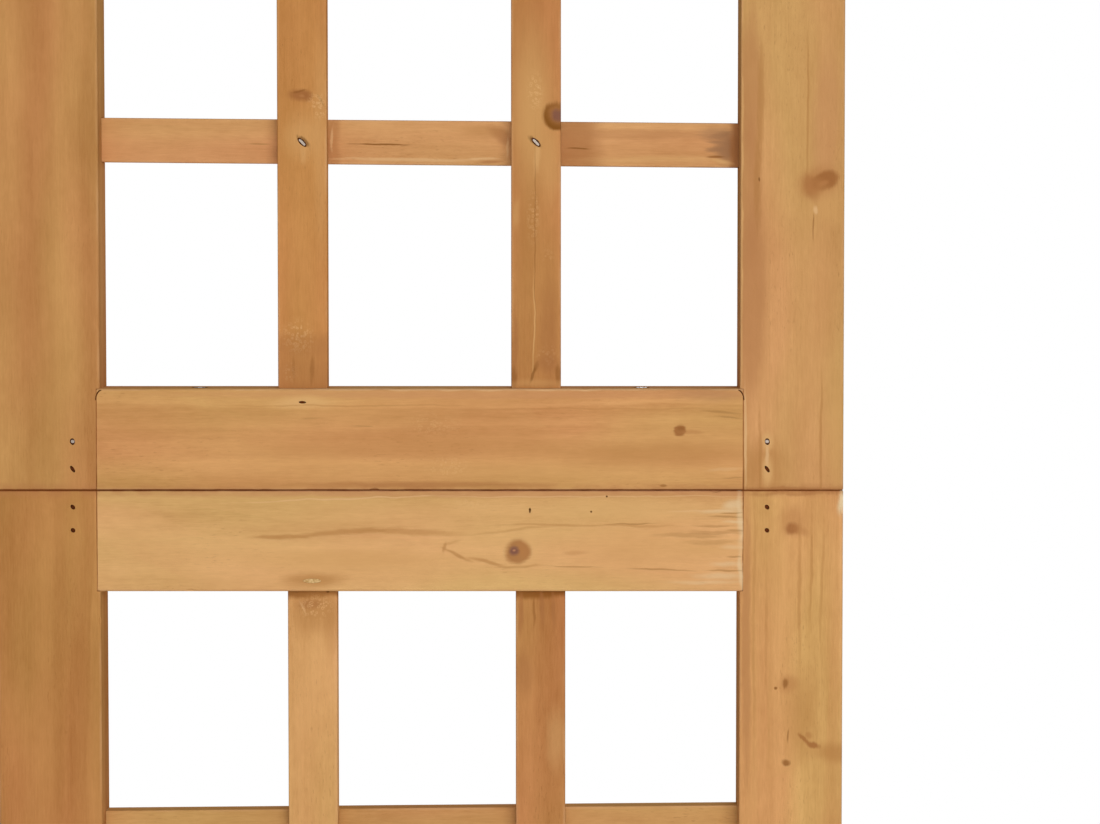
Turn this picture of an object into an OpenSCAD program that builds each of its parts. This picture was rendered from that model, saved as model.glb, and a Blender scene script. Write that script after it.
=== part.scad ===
// Folding trellis screen in stained fir. Three panels stand in a zigzag and turn on butt hinges.
// Each panel is two lattice frames stacked at a middle seam, pegged at the stiles and bolted at the rails.
// Row frame: the origin is on the floor under the middle panel's centre, the right panel faces -Y, +Z is up.

/* [Panel] */
// Width of one panel
panel_w = 400; // [320:5:600]
// Thickness of the frame timber
frame_t = 28; // [26:1:40]
// Width of the upright frame timbers
stile_w = 49; // [44:0.5:70]
// Height of the rails
rail_h = 48; // [40:1:70]
// Length of the feet below the bottom rail
foot_h = 32; // [20:2:120]
// Angle that each joint is folded from flat, as the screen stands
rest_fold = 60; // [30:5:90]

/* [Lattice] */
// Uprights in each frame
upright_count = 2; // [1:1:4]
// Width of an upright
upright_w = 23.5; // [20:0.5:32]
// Thickness of an upright
upright_t = 10; // [8:0.5:11]
// Cross slats in each frame
cross_count = 5; // [2:1:8]
// Height of a cross slat
cross_h = 21; // [18:0.5:30]
// Thickness of a cross slat
cross_t = 10; // [8:0.5:11]
// Clear height of a window of the lattice
window_h = 105.5; // [60:0.5:160]
// Distance of the uprights behind the frame's front face
lattice_inset = 4; // [3:0.5:5]
// Rounding of the slats' long edges
slat_r = 0.8; // [0.4:0.1:2]
// Shift of each upright of the upper frame towards the right, as they were set by eye
upper_drift = [-1.1, 0.6]; // [-2:0.1:2]
// Shift of each upright of the lower frame towards the right
lower_drift = [3.1, 2.7]; // [0:0.1:8]
// Lean of the most crooked cross slat, in degrees
cross_lean = 0.5; // [0:0.1:1]

/* [Joinery] */
// Length of the rail tenons
tenon_l = 26; // [20:1:28]
// Thickness of the rail tenons
tenon_t = 10; // [8:1:12]
// Shoulder above and below a rail tenon
tenon_shoulder = 6; // [4:1:10]
// Depth that the whole end of a rail is let into the stiles
rail_housing = 1.8; // [0.8:0.1:3]
// Depth that the uprights enter the rails
upright_seat = 15; // [10:1:20]
// Depth that the cross slats enter the stiles
cross_seat = 8; // [6:1:12]
// Clearance of a tenon or slat in its mortise, on each side
mortise_gap = 0.15; // [0.05:0.05:0.3]
// Rounding of the frame's openings and outline
edge_r = 1.2; // [0.8:0.1:2.4]
// Rounding of the edges that meet at the seam
seam_r = 0.6; // [0.3:0.1:1]

/* [Pegs and bolts] */
// Diameter of the pegs in the stile ends
dowel_d = 8; // [6:1:8]
// Length of a peg
dowel_l = 40; // [30:2:60]
// Distance of the pegs from the stile's outer face
dowel_inset = 11; // [9:1:12]
// Diameter of the bolts through the middle rails
bolt_d = 5; // [4:0.5:6]
// Diameter of the countersunk bolt head
bolt_head_d = 9.2; // [8:0.2:12]
// Height that the bolt head stands proud of the rail
bolt_proud = 0.4; // [0.1:0.1:1]
// Diameter of the sleeve nut
nut_d = 8; // [7.5:0.5:10]
// Length of the sleeve nut
nut_l = 30; // [20:1:36]
// Distance of the bolts from the stile's inner face
bolt_inset = 46; // [30:1:60]
// Clearance of pegs, bolts and nuts in their holes, on the radius
hole_gap = 0.1; // [0.05:0.05:0.3]

/* [Nails and staples] */
// Diameter of a brad
brad_d = 1.4; // [1:0.1:2]
// Diameter of a brad head
brad_head_d = 2; // [1.8:0.1:3]
// Length of a brad
brad_l = 20; // [16:1:24]
// Depth of a brad head below the surface
brad_sink = 1; // [0.4:0.1:1.6]
// Heights of the upper frame's tenon brads from the frame's end
upper_brads = [10, 23]; // [5:0.5:40]
// Heights of the lower frame's tenon brads from the frame's end
lower_brads = [8, 19]; // [5:0.5:40]
// Distance of the brads that pin the uprights from the rail's inner edge, in the upper and the lower frame
pin_inset = [6.4, 5]; // [4:0.2:10]
// Length of a staple crown
staple_w = 5.8; // [5:0.2:8]
// Width of the staple wire
wire_w = 1.3; // [1:0.1:1.6]
// Thickness of the staple wire
wire_t = 1; // [0.6:0.1:1.2]
// Length of the staple legs
staple_l = 15; // [12:1:16]
// Depth of the staple crown below the surface
staple_sink = 0.5; // [0.2:0.1:1]
// Clearance round a driven brad or staple leg
driven_gap = 0.05; // [0.02:0.01:0.1]

/* [Hinges] */
// Height of a hinge
hinge_h = 50; // [40:2:80]
// Width of a hinge plate
plate_w = 18; // [14:1:20]
// Thickness of a hinge plate
plate_t = 1.6; // [1.4:0.1:2]
// Gap between the two plates when the panels are in line
plate_gap = 0.6; // [0.4:0.1:1]
// Outer diameter of the knuckles
knuckle_d = 6; // [5:0.5:8]
// Number of knuckles on a hinge
knuckles = 5; // [3:2:7]
// Gap between two knuckles
knuckle_gap = 0.3; // [0.2:0.1:0.5]
// Diameter of the hinge pin
pin_d = 3; // [2:0.5:3.5]
// Radial clearance of the pin in the knuckles
pin_gap = 0.05; // [0.02:0.01:0.1]
// Distance of the pin behind the face of the panels
pin_out = 3.4; // [3.2:0.2:6]
// Distance of the hinge centres from the ends of each frame
hinge_inset = 110; // [90:5:200]
// Diameter of a hinge screw
screw_d = 3; // [2.5:0.5:3.5]
// Diameter of a hinge screw head
screw_head_d = 5.8; // [5:0.2:6]
// Length of a hinge screw
screw_l = 16; // [12:1:18]
// Distance between the screws of one plate, along the hinge
screw_pitch = 17; // [12:1:20]
// Distance of the plates' outer screws from their middle one, across the plate
screw_stagger = 5; // [2:1:6]

/* [Hidden] */
$fn = 48;
CUT = 0.1; // how far a cutter runs past the face that it opens
PANELS = ["left", "middle", "right"];
STILE_NODES = ["upper_left_stile", "upper_right_stile", "lower_left_stile", "lower_right_stile"];
RAIL_NODES = ["top_rail", "upper_middle_rail", "lower_middle_rail", "bottom_rail"];
SLAT_NODES = ["upper_uprights", "lower_uprights", "upper_cross_slats", "lower_cross_slats"];
FIXING_NODES = ["brads_and_staples", "pegs", "bolts", "sleeve_nuts"];
PANEL_NODES = concat(STILE_NODES, RAIL_NODES, SLAT_NODES, FIXING_NODES);
HINGES = ["left", "right"];
HINGE_NODES = ["outer_plates", "outer_screws", "middle_plates", "middle_screws", "pins"];

frame_h = 2 * rail_h + (cross_count + 1) * window_h + cross_count * cross_h;
seam_z = foot_h + frame_h;
opening_w = panel_w - 2 * stile_w;
upright_gap = (opening_w - upright_count * upright_w) / (upright_count + 1);
cross_y = lattice_inset + upright_t;
tenon_h = rail_h - 2 * tenon_shoulder;
tenon_y = (frame_t - tenon_t) / 2;
plate_space = 2 * plate_t + plate_gap;
pin_bore_r = pin_d / 2 + pin_gap;
knuckle_h = hinge_h / knuckles;
hinge_z = [
    foot_h + hinge_inset,
    seam_z - hinge_inset,
    seam_z + hinge_inset,
    seam_z + frame_h - hinge_inset
];
// leans of the cross slats, counted from the seam, as shares of the most crooked one
LEANS = [1, -0.4, 0.6, -0.8, 0.2];

// place of an upright's centre in frame coordinates: lower is 1 in the lower frame
function upright_x(i, lower) =
    stile_w + (i + 1) * upright_gap + (i + 0.5) * upright_w
    + (lower == 1 ? lower_drift[i % len(lower_drift)] : upper_drift[i % len(upper_drift)]);
function cross_z(k) = rail_h + (k + 1) * window_h + (k + 0.5) * cross_h;
function lean(k) = cross_lean * LEANS[k % len(LEANS)];

// FRAME COORDINATES: X along the panel's width, Y from its front face to its back face,
// and Z outwards from the seam, so the lower frame is the upper one mirrored.

// The waste outside one round edge that runs along +Z, with the timber on its +X and +Y side
module edge_waste(length, r) {
    linear_extrude(length) edge_profile(r);
}

module edge_profile(r) {
    difference() {
        translate([-CUT, -CUT]) square(r + CUT);
        translate([r, r]) circle(r);
    }
}

// The waste at the corner of an opening, where the two round edges turn into each other
module corner_waste(r) {
    rotate([-90, 0, 0])
        rotate_extrude(angle = 90)
            difference() {
                translate([0, -CUT]) square([r, r + CUT]);
                translate([r, r]) circle(r);
            }
}

// Rounds the edges of a rectangular opening on both faces of the frame
module round_opening(x0, x1, z0, z1) {
    for (face = [0, 1])
        translate([0, face * frame_t, 0])
            mirror([0, face, 0]) {
                translate([x1, 0, z0]) edge_waste(z1 - z0, edge_r);
                translate([x0, 0, z0]) mirror([1, 0, 0]) edge_waste(z1 - z0, edge_r);
                translate([x0, 0, z1]) mirror([1, 0, -1]) edge_waste(x1 - x0, edge_r);
                translate([x0, 0, z0]) mirror([0, 0, 1]) mirror([1, 0, -1]) edge_waste(x1 - x0, edge_r);
                translate([x1, 0, z0]) corner_waste(edge_r);
                translate([x0, 0, z0]) mirror([1, 0, 0]) corner_waste(edge_r);
                translate([x1, 0, z1]) mirror([0, 0, 1]) corner_waste(edge_r);
                translate([x0, 0, z1]) mirror([0, 0, 1]) mirror([1, 0, 0]) corner_waste(edge_r);
            }
}

// Rounds the edges across the frame at height z, on both faces: up is 1 where the timber lies above
module round_end(z, up, r) {
    for (face = [0, 1])
        translate([-CUT, face * frame_t, z])
            mirror([0, face, 0])
                mirror([0, 0, 1 - up])
                    mirror([1, 0, -1]) edge_waste(panel_w + 2 * CUT, r);
}

// All the rounding of one frame; the feet stand past the bottom rail of a lower frame
module frame_rounding(lower) {
    round_opening(stile_w, panel_w - stile_w, rail_h, frame_h - rail_h);
    round_end(0, 1, seam_r);
    if (lower == 1) {
        round_opening(stile_w, panel_w - stile_w, frame_h, frame_h + foot_h + 2 * edge_r);
    } else {
        round_end(frame_h, 0, edge_r);
    }
}

// An upright slat, or its mortises when grow is above 0
module upright(i, lower, grow = 0) {
    seat = upright_seat + (grow > 0 ? 2 * grow : 0);
    z0 = rail_h - seat;
    length = frame_h - 2 * rail_h + 2 * seat;
    translate([upright_x(i, lower), lattice_inset + upright_t / 2, z0])
        linear_extrude(length)
            round_rectangle([upright_w + 2 * grow, upright_t + 2 * grow], slat_r);
}

// A cross slat, or its mortises when grow is above 0
module cross_slat(k, grow = 0) {
    length = opening_w + 2 * cross_seat + (grow > 0 ? 4 * grow : 0);
    translate([panel_w / 2, cross_y + cross_t / 2, cross_z(k)])
        rotate([0, lean(k), 0])
            translate([-length / 2, 0, 0])
                rotate([0, 90, 0])
                    linear_extrude(length)
                        round_rectangle([cross_h + 2 * grow, cross_t + 2 * grow], slat_r);
}

// A rectangle about its centre with round corners
module round_rectangle(size, r) {
    square([size.x - 2 * r, size.y], center = true);
    square([size.x, size.y - 2 * r], center = true);
    for (sx = [-1, 1])
        for (sy = [-1, 1])
            translate([sx * (size.x / 2 - r), sy * (size.y / 2 - r)]) circle(r);
}

// The body of the rail whose lower edge is at z0, with its ends let into the stiles.
// below, above and past stretch it into the cutter of its housings.
module rail_body(z0, below = 0, above = 0, past = 0) {
    translate([stile_w - rail_housing, -past, z0 - below])
        cube([opening_w + 2 * rail_housing, frame_t + 2 * past, rail_h + below + above]);
}

// A box along the tenons of the rail whose lower edge is at z0; grow opens it into a mortise
module tenon(z0, grow = 0) {
    end = tenon_l + 2 * grow;
    translate([stile_w - end, tenon_y - grow, z0 + tenon_shoulder - grow])
        cube([opening_w + 2 * end, tenon_t + 2 * grow, tenon_h + 2 * grow]);
}

// What the stiles give up to the rails of a frame: the tenons' mortises and the housings of the rails' ends
module rail_mortises(lower) {
    far = frame_h - rail_h;
    tenon(0, mortise_gap);
    rail_body(0, below = CUT, past = CUT);
    tenon(far, mortise_gap);
    rail_body(far, above = lower == 1 ? 0 : CUT, past = CUT);
}

// Heights of the tenon brads of one frame, at the seam end and at the far end
function tenon_brads(lower) =
    let (z = lower == 1 ? lower_brads : upper_brads)
    [z[0], z[1], frame_h - z[0], frame_h - z[1]];

// A brad driven along +Y from the face at the origin, or its hole when grow is above 0
module brad(grow = 0) {
    rotate([-90, 0, 0]) {
        translate([0, 0, grow > 0 ? -CUT : brad_sink])
            cylinder(d = brad_head_d + 2 * grow, h = grow > 0 ? brad_sink + wire_t + CUT : wire_t);
        cylinder(d = brad_d + 2 * grow, h = brad_sink + brad_l + grow);
    }
}

module brad_body() {
    rotate([-90, 0, 0]) {
        translate([0, 0, brad_sink]) cylinder(d = brad_head_d, h = wire_t);
        translate([0, 0, brad_sink]) cylinder(d = brad_d, h = brad_l);
    }
}

// Stands its child at each brad of a frame: four at each stile, and one at each end of each upright.
// Every second upright is pinned from the back.
module at_brads(lower) {
    for (z = tenon_brads(lower))
        for (x = [stile_w - tenon_l / 2, panel_w - stile_w + tenon_l / 2])
            translate([x, 0, z]) children();
    for (i = [0:upright_count - 1])
        for (z = [rail_h - pin_inset[lower], frame_h - rail_h + pin_inset[lower]])
            translate([upright_x(i, lower), (i % 2) * frame_t, z])
                mirror([0, i % 2, 0]) children();
}

// Stands its child at each crossing of an upright and a cross slat, on the upright's face
module at_crossings(lower) {
    for (i = [0:upright_count - 1])
        for (k = [0:cross_count - 1])
            translate([upright_x(i, lower), lattice_inset, cross_z(k)])
                rotate([0, 45, 0]) children();
}

module staple() {
    translate([-staple_w / 2, staple_sink, -wire_w / 2]) cube([staple_w, wire_t, wire_w]);
    for (x = [-staple_w / 2, staple_w / 2 - wire_t])
        translate([x, staple_sink, -wire_w / 2]) cube([wire_t, staple_l, wire_w]);
}

// The slot that a staple crown is sunk into, with the holes of its legs
module staple_slot() {
    r = wire_w / 2 + 4 * driven_gap;
    half = staple_w / 2 + 4 * driven_gap - r / 2;
    depth = staple_sink + wire_t + CUT;
    for (x = [-half, half])
        translate([x, -CUT, 0]) rotate([-90, 0, 0]) cylinder(r = r, h = depth);
    translate([-half, -CUT, -r]) cube([2 * half, depth, 2 * r]);
    for (x = [-staple_w / 2, staple_w / 2 - wire_t])
        translate([x - driven_gap, 0, -wire_w / 2 - driven_gap])
            cube([wire_t + 2 * driven_gap, staple_sink + staple_l + driven_gap, wire_w + 2 * driven_gap]);
}

// Stands its child at the two pegs of the seam
module at_pegs() {
    for (x = [dowel_inset, panel_w - dowel_inset]) translate([x, frame_t / 2, 0]) children();
}

// Stands its child at the two bolts of the seam
module at_bolts() {
    for (x = [stile_w + bolt_inset, panel_w - stile_w - bolt_inset])
        translate([x, frame_t / 2, 0]) children();
}

module dowel_hole() {
    translate([0, 0, -CUT]) cylinder(d = dowel_d + 2 * hole_gap, h = dowel_l / 2 + 2 * hole_gap + CUT);
}

// A bolt's outline, standing on the seam with its head at the lower rail's underside.
// grow opens it into a hole.
module bolt_outline(grow = 0) {
    rim = 0.3;
    cone_h = (bolt_head_d - bolt_d) / 2;
    translate([0, 0, -rail_h - bolt_proud]) {
        translate([0, 0, -grow]) cylinder(d = bolt_head_d + 2 * grow, h = rim + grow);
        translate([0, 0, rim])
            cylinder(d1 = bolt_head_d + 2 * grow, d2 = bolt_d + 2 * grow, h = cone_h);
        cylinder(d = bolt_d + 2 * grow, h = bolt_proud + 2 * rail_h - nut_l / 2 + grow);
    }
}

// The holes of a bolt and its sleeve nut in a middle rail, in frame coordinates
module bolt_hole(lower) {
    mirror([0, 0, lower]) {
        bolt_outline(hole_gap);
        translate([0, 0, rail_h - nut_l - hole_gap])
            cylinder(d = nut_d + 2 * hole_gap, h = nut_l + hole_gap + CUT);
    }
}

module bolt() {
    socket_d = 3;
    difference() {
        bolt_outline();
        translate([0, 0, -rail_h - bolt_proud - CUT]) cylinder(d = socket_d, h = 2 + CUT, $fn = 6);
    }
}

// One sleeve nut, flush with the upper rail's top, with a blind thread from below
module sleeve_nut() {
    socket_d = 4;
    wall = 6;
    translate([0, 0, rail_h - nut_l])
        difference() {
            cylinder(d = nut_d, h = nut_l);
            translate([0, 0, -CUT]) cylinder(d = bolt_d + 2 * driven_gap, h = nut_l - wall + CUT);
            translate([0, 0, nut_l - 3]) cylinder(d = socket_d, h = 3 + CUT, $fn = 6);
        }
}

// The left stile of a frame. hinge_heights lists the hinges on it, and hinge_face is 0 for front, 1 for back
module left_stile(lower, hinge_heights, hinge_face) {
    length = frame_h + lower * foot_h;
    color("peru")
        difference() {
            cube([stile_w, frame_t, length]);
            frame_rounding(lower);
            for (face = [0, 1])
                translate([0, face * frame_t, -CUT])
                    mirror([0, face, 0]) edge_waste(length + 2 * CUT, edge_r);
            rail_mortises(lower);
            for (k = [0:cross_count - 1]) cross_slat(k, mortise_gap);
            at_brads(lower) brad(driven_gap);
            at_pegs() dowel_hole();
            for (z = hinge_heights)
                translate([-plate_space / 2, pin_y(hinge_face), z])
                    mirror([0, 1 - hinge_face, 0])
                        mirror([1, 0, 0]) at_plate_screws() hinge_screw(driven_gap);
        }
}

// The right stile is the left one mirrored, with the cross slats' lean as it is
module right_stile(lower, hinge_heights, hinge_face) {
    length = frame_h + lower * foot_h;
    color("peru")
        difference() {
            translate([panel_w - stile_w, 0, 0]) cube([stile_w, frame_t, length]);
            frame_rounding(lower);
            for (face = [0, 1])
                translate([panel_w, face * frame_t, -CUT])
                    mirror([0, face, 0]) mirror([1, 0, 0]) edge_waste(length + 2 * CUT, edge_r);
            rail_mortises(lower);
            for (k = [0:cross_count - 1]) cross_slat(k, mortise_gap);
            at_brads(lower) brad(driven_gap);
            at_pegs() dowel_hole();
            for (z = hinge_heights)
                translate([panel_w + plate_space / 2, pin_y(hinge_face), z])
                    mirror([0, 1 - hinge_face, 0]) at_plate_screws() hinge_screw(driven_gap);
        }
}

// A rail of a frame whose lower edge is at z0
module rail(z0, lower) {
    color("burlywood")
        difference() {
            union() {
                rail_body(z0);
                tenon(z0);
            }
            frame_rounding(lower);
            for (i = [0:upright_count - 1]) upright(i, lower, mortise_gap);
            at_brads(lower) brad(driven_gap);
            if (z0 == 0) at_bolts() bolt_hole(lower);
        }
}

module uprights(lower) {
    color("sienna")
        for (i = [0:upright_count - 1])
            difference() {
                upright(i, lower);
                at_crossings(lower) staple_slot();
                at_brads(lower) brad(driven_gap);
            }
}

module cross_slats(lower) {
    color("tan")
        for (k = [0:cross_count - 1])
            difference() {
                cross_slat(k);
                at_crossings(lower) staple_slot();
            }
}

// Y of the hinge pin on a panel's front face, 0, or back face, 1
function pin_y(face) = face == 1 ? frame_t + pin_out : -pin_out;

// HINGE COORDINATES: the pin along Z through the origin, the plate on the -X side, its stile at negative Y.

// Stands its child at the plate's screws, with +X pointing out of the timber
module at_plate_screws() {
    y0 = -pin_out - plate_w / 2 - screw_stagger / 2;
    for (s = [-1, 0, 1])
        translate([-plate_space / 2, y0 + (s == 0 ? 0 : screw_stagger), s * screw_pitch]) children();
}

// A hinge screw whose head is flush with the plate, or its hole when grow is above 0
module hinge_screw(grow = 0) {
    cone_h = (screw_head_d - screw_d) / 2;
    recess = 0.7;
    rotate([0, -90, 0])
        difference() {
            translate([0, 0, -plate_t]) {
                cylinder(d1 = screw_head_d + 2 * grow, d2 = screw_d + 2 * grow, h = cone_h);
                cylinder(d = screw_d + 2 * grow, h = screw_l + grow);
            }
            if (grow == 0)
                for (a = [0, 90])
                    rotate([0, 0, a])
                        translate([-1.5, -0.3, -plate_t - CUT]) cube([3, 0.6, recess + CUT]);
        }
}

// Half of a butt hinge with every second knuckle, from number first on
module hinge_plate(first) {
    plate_end = -knuckle_d / 2 - 2 * knuckle_gap;
    difference() {
        union() {
            translate([-plate_space / 2, -pin_out - plate_w, -hinge_h / 2])
                cube([plate_t, pin_out + plate_w + plate_end, hinge_h]);
            for (k = [first:2:knuckles - 1])
                translate([0, 0, -hinge_h / 2 + k * knuckle_h + knuckle_gap / 2]) {
                    cylinder(d = knuckle_d, h = knuckle_h - knuckle_gap);
                    translate([-plate_space / 2, plate_end - CUT, 0])
                        cube([plate_t, CUT - plate_end, knuckle_h - knuckle_gap]);
                }
        }
        translate([0, 0, -hinge_h / 2 - CUT]) cylinder(r = pin_bore_r, h = hinge_h + 2 * CUT);
        at_plate_screws() hinge_screw(driven_gap);
    }
}

module hinge_pin() {
    head_h = 1;
    translate([0, 0, -hinge_h / 2]) cylinder(d = pin_d, h = hinge_h);
    for (z = [-hinge_h / 2 - head_h, hinge_h / 2])
        translate([0, 0, z]) cylinder(d = knuckle_d - 1, h = head_h);
}

// Stands its child on one side of a panel's hinge line: side is 0 for the left edge, 1 for the right
module at_hinges(side, face) {
    for (z = hinge_z)
        translate([side * panel_w + (side == 1 ? plate_space / 2 : -plate_space / 2), pin_y(face), z])
            mirror([0, 1 - face, 0]) mirror([1 - side, 0, 0]) children();
}

// The heights of a panel's hinges in the coordinates of one frame
function frame_hinges(lower) =
    [for (z = hinge_z) if ((z < seam_z ? 1 : 0) == lower) abs(z - seam_z)];

// SCREEN COORDINATES

// Places one frame on the seam of a panel: the lower frame hangs below it, mirrored
module on_seam(lower) {
    translate([0, 0, seam_z]) mirror([0, 0, lower]) children();
}

// Where the right hinges' pin line stands, seen from above; the left one is the same point turned half round
right_pin = let (
    x = panel_w / 2 + plate_space / 2,
    y = frame_t / 2 + pin_out,
    c = cos(rest_fold),
    s = sin(rest_fold)
) [x * c + y * s, y * c - x * s];

module place_panel(name) {
    if (name == "middle") {
        rotate([0, 0, -rest_fold]) translate([-panel_w / 2, -frame_t / 2, 0]) children();
    } else if (name == "right") {
        translate([right_pin.x + plate_space / 2, right_pin.y - pin_y(1), 0]) children();
    } else {
        translate([-right_pin.x - plate_space / 2 - panel_w, -right_pin.y - pin_y(0), 0]) children();
    }
}

// The left hinges fold on the front face, and the right hinges on the back face
LEFT_FACE = 0;
RIGHT_FACE = 1;

// A piece of a panel by its node name
module panel_piece(panel, piece) {
    lower = piece[0] == "l" || piece == "bottom_rail" ? 1 : 0;
    left_edge = panel == "left" ? [] : frame_hinges(lower);
    right_edge = panel == "right" ? [] : frame_hinges(lower);
    left_edge_face = panel == "middle" ? LEFT_FACE : RIGHT_FACE;
    right_edge_face = panel == "left" ? LEFT_FACE : RIGHT_FACE;
    place_panel(panel) {
        if (piece == "upper_left_stile" || piece == "lower_left_stile")
            on_seam(lower) left_stile(lower, left_edge, left_edge_face);
        if (piece == "upper_right_stile" || piece == "lower_right_stile")
            on_seam(lower) right_stile(lower, right_edge, right_edge_face);
        if (piece == "top_rail" || piece == "bottom_rail")
            on_seam(lower) rail(frame_h - rail_h, lower);
        if (piece == "upper_middle_rail" || piece == "lower_middle_rail")
            on_seam(lower) rail(0, lower);
        if (piece == "upper_uprights" || piece == "lower_uprights") on_seam(lower) uprights(lower);
        if (piece == "upper_cross_slats" || piece == "lower_cross_slats")
            on_seam(lower) cross_slats(lower);
        if (piece == "brads_and_staples")
            for (half = [0, 1])
                color("silver") on_seam(half) {
                    at_brads(half) brad_body();
                    at_crossings(half) staple();
                }
        if (piece == "pegs")
            color("wheat") on_seam(0) at_pegs() cylinder(d = dowel_d, h = dowel_l, center = true);
        if (piece == "bolts") color("silver") on_seam(0) at_bolts() bolt();
        if (piece == "sleeve_nuts") color("silver") on_seam(0) at_bolts() sleeve_nut();
    }
}

// A piece of a hinge line by its node name; the pins stay with the middle panel
module hinge_piece(hinge, piece) {
    face = hinge == "left" ? LEFT_FACE : RIGHT_FACE;
    outer_side = hinge == "left" ? 1 : 0;
    if (piece == "outer_plates")
        color("gainsboro") place_panel(hinge) at_hinges(outer_side, face) hinge_plate(1);
    if (piece == "outer_screws")
        color("gainsboro") place_panel(hinge) at_hinges(outer_side, face) at_plate_screws() hinge_screw();
    if (piece == "middle_plates")
        color("gainsboro") place_panel("middle") at_hinges(1 - outer_side, face) hinge_plate(0);
    if (piece == "middle_screws")
        color("gainsboro")
            place_panel("middle") at_hinges(1 - outer_side, face) at_plate_screws() hinge_screw();
    if (piece == "pins")
        color("gainsboro") place_panel("middle") at_hinges(1 - outer_side, face) hinge_pin();
}

for (panel = PANELS)
    for (piece = PANEL_NODES)
        panel_piece(panel, piece);
for (hinge = HINGES)
    for (piece = HINGE_NODES)
        hinge_piece(hinge, piece);
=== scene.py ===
"""A folding trellis screen in stained fir, dressed for its portrait.

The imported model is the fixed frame. Every stick of wood is modelled again here, with the eased
edges, joints, nail pits, grain and knots of planed fir. The steel and the pegs keep their shapes
and get their finishes. Lengths are in metres; lists of marks are in millimetres, as a maker would
note them.
"""

import math
import random

import bmesh
import bpy
from bpy.props import FloatProperty, FloatVectorProperty, PointerProperty
from bpy.types import Operator, Panel, PropertyGroup
from mathutils import Matrix, Vector


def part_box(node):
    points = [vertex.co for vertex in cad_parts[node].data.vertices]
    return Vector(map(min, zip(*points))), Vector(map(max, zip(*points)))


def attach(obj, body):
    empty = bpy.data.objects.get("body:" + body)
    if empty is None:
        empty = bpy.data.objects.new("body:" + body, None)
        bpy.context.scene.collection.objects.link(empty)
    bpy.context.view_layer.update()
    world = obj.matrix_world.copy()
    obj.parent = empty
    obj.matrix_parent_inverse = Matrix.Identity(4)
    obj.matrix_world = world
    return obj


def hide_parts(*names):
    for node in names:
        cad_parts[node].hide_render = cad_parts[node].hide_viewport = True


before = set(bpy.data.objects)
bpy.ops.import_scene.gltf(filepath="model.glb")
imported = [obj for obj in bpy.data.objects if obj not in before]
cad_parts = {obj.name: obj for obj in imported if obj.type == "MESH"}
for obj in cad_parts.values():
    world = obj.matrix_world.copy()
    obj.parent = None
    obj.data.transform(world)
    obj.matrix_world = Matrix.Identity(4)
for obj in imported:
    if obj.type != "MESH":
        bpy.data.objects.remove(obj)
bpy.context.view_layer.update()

bl_info = {
    "name": "Trellis Screen",
    "version": (1, 0, 0),
    "blender": (4, 5, 0),
    "location": "View3D > Sidebar > Trellis",
    "description": "Models and finishes a folding trellis screen in stained fir",
    "category": "Object",
}

MM = 0.001
TINY = 1e-5
PANELS = ("left", "middle", "right")


# What the frame gives -----------------------------------------------------------------------------

RIGHT_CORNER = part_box("right_panel_upper_left_stile")[0] * Vector((1, 1, 0))
LEFT_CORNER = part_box("left_panel_upper_left_stile")[0] * Vector((1, 1, 0))


def span(piece):
    """Lowest and highest corner of a piece of the right panel, from its own front left corner."""
    low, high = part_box("right_panel_" + piece)
    return low - RIGHT_CORNER, high - RIGHT_CORNER


STILE_W, THICK, TOP = span("upper_left_stile")[1]
SEAM = span("upper_left_stile")[0].z
PANEL_W = span("upper_right_stile")[1].x
RAIL_H = span("upper_middle_rail")[1].z - SEAM
FOOT = span("bottom_rail")[0].z
FRAME_H = TOP - SEAM
FOLD = math.radians(-60)  # turn of the middle panel between its hinges
CROSSINGS = 5  # cross slats in a frame
LEANS = (1, -0.4, 0.6, -0.8, 0.2)  # of the cross slats, counted from the seam


# Sizes and colours that a user would change -------------------------------------------------------


def linear(code):
    """An sRGB hex colour as linear red, green and blue."""
    parts = [int(code[i : i + 2], 16) / 255 for i in (1, 3, 5)]
    return [c / 12.92 if c <= 0.04045 else ((c + 0.055) / 1.055) ** 2.4 for c in parts]


def length(name, description, mm):
    return FloatProperty(name=name, description=description, default=mm * MM, min=0, unit="LENGTH")


def colour(name, description, code):
    return FloatVectorProperty(name=name, description=description, default=linear(code), min=0,
                               max=1, subtype="COLOR")


class TrellisSizes(PropertyGroup):
    arris: length("Arris", "Rounding of the frame's openings and outline", 1.2)
    seam_arris: length("Seam arris", "Rounding of the edges that meet at the seam", 0.6)
    joint_arris: length("Joint arris", "Easing of the edges that meet in a joint", 0.25)
    slat_arris: length("Slat arris", "Rounding of the slats' long edges", 0.8)
    housing: length("Housing", "Depth that a rail's end is let into a stile", 1.8)
    tenon: length("Tenon", "Length of a rail tenon", 26)
    tenon_thick: length("Tenon thickness", "Thickness of a rail tenon", 10)
    shoulder: length("Shoulder", "Shoulder above and below a tenon", 6)
    play: length("Play", "Gap round a tenon or slat in its mortise", 0.15)
    upright: length("Upright", "Width of an upright slat", 23.5)
    slat: length("Cross slat", "Height of a cross slat", 21)
    slat_thick: length("Slat thickness", "Thickness of all slats", 10)
    inset: length("Inset", "Distance of the uprights behind the front face", 4)
    upright_seat: length("Upright seat", "Depth of the uprights in the rails", 15)
    slat_seat: length("Slat seat", "Depth of the cross slats in the stiles", 8)
    peg: length("Peg", "Diameter of the pegs in the stile ends", 8)
    bolt: length("Bolt", "Diameter of the bolts through the middle rails", 5)
    pit: length("Nail pit", "Width of the pit over a sunk brad", 2.5)
    lean: FloatProperty(name="Lean", description="Lean of the most crooked cross slat",
                        default=math.radians(0.5), subtype="ANGLE")


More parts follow.
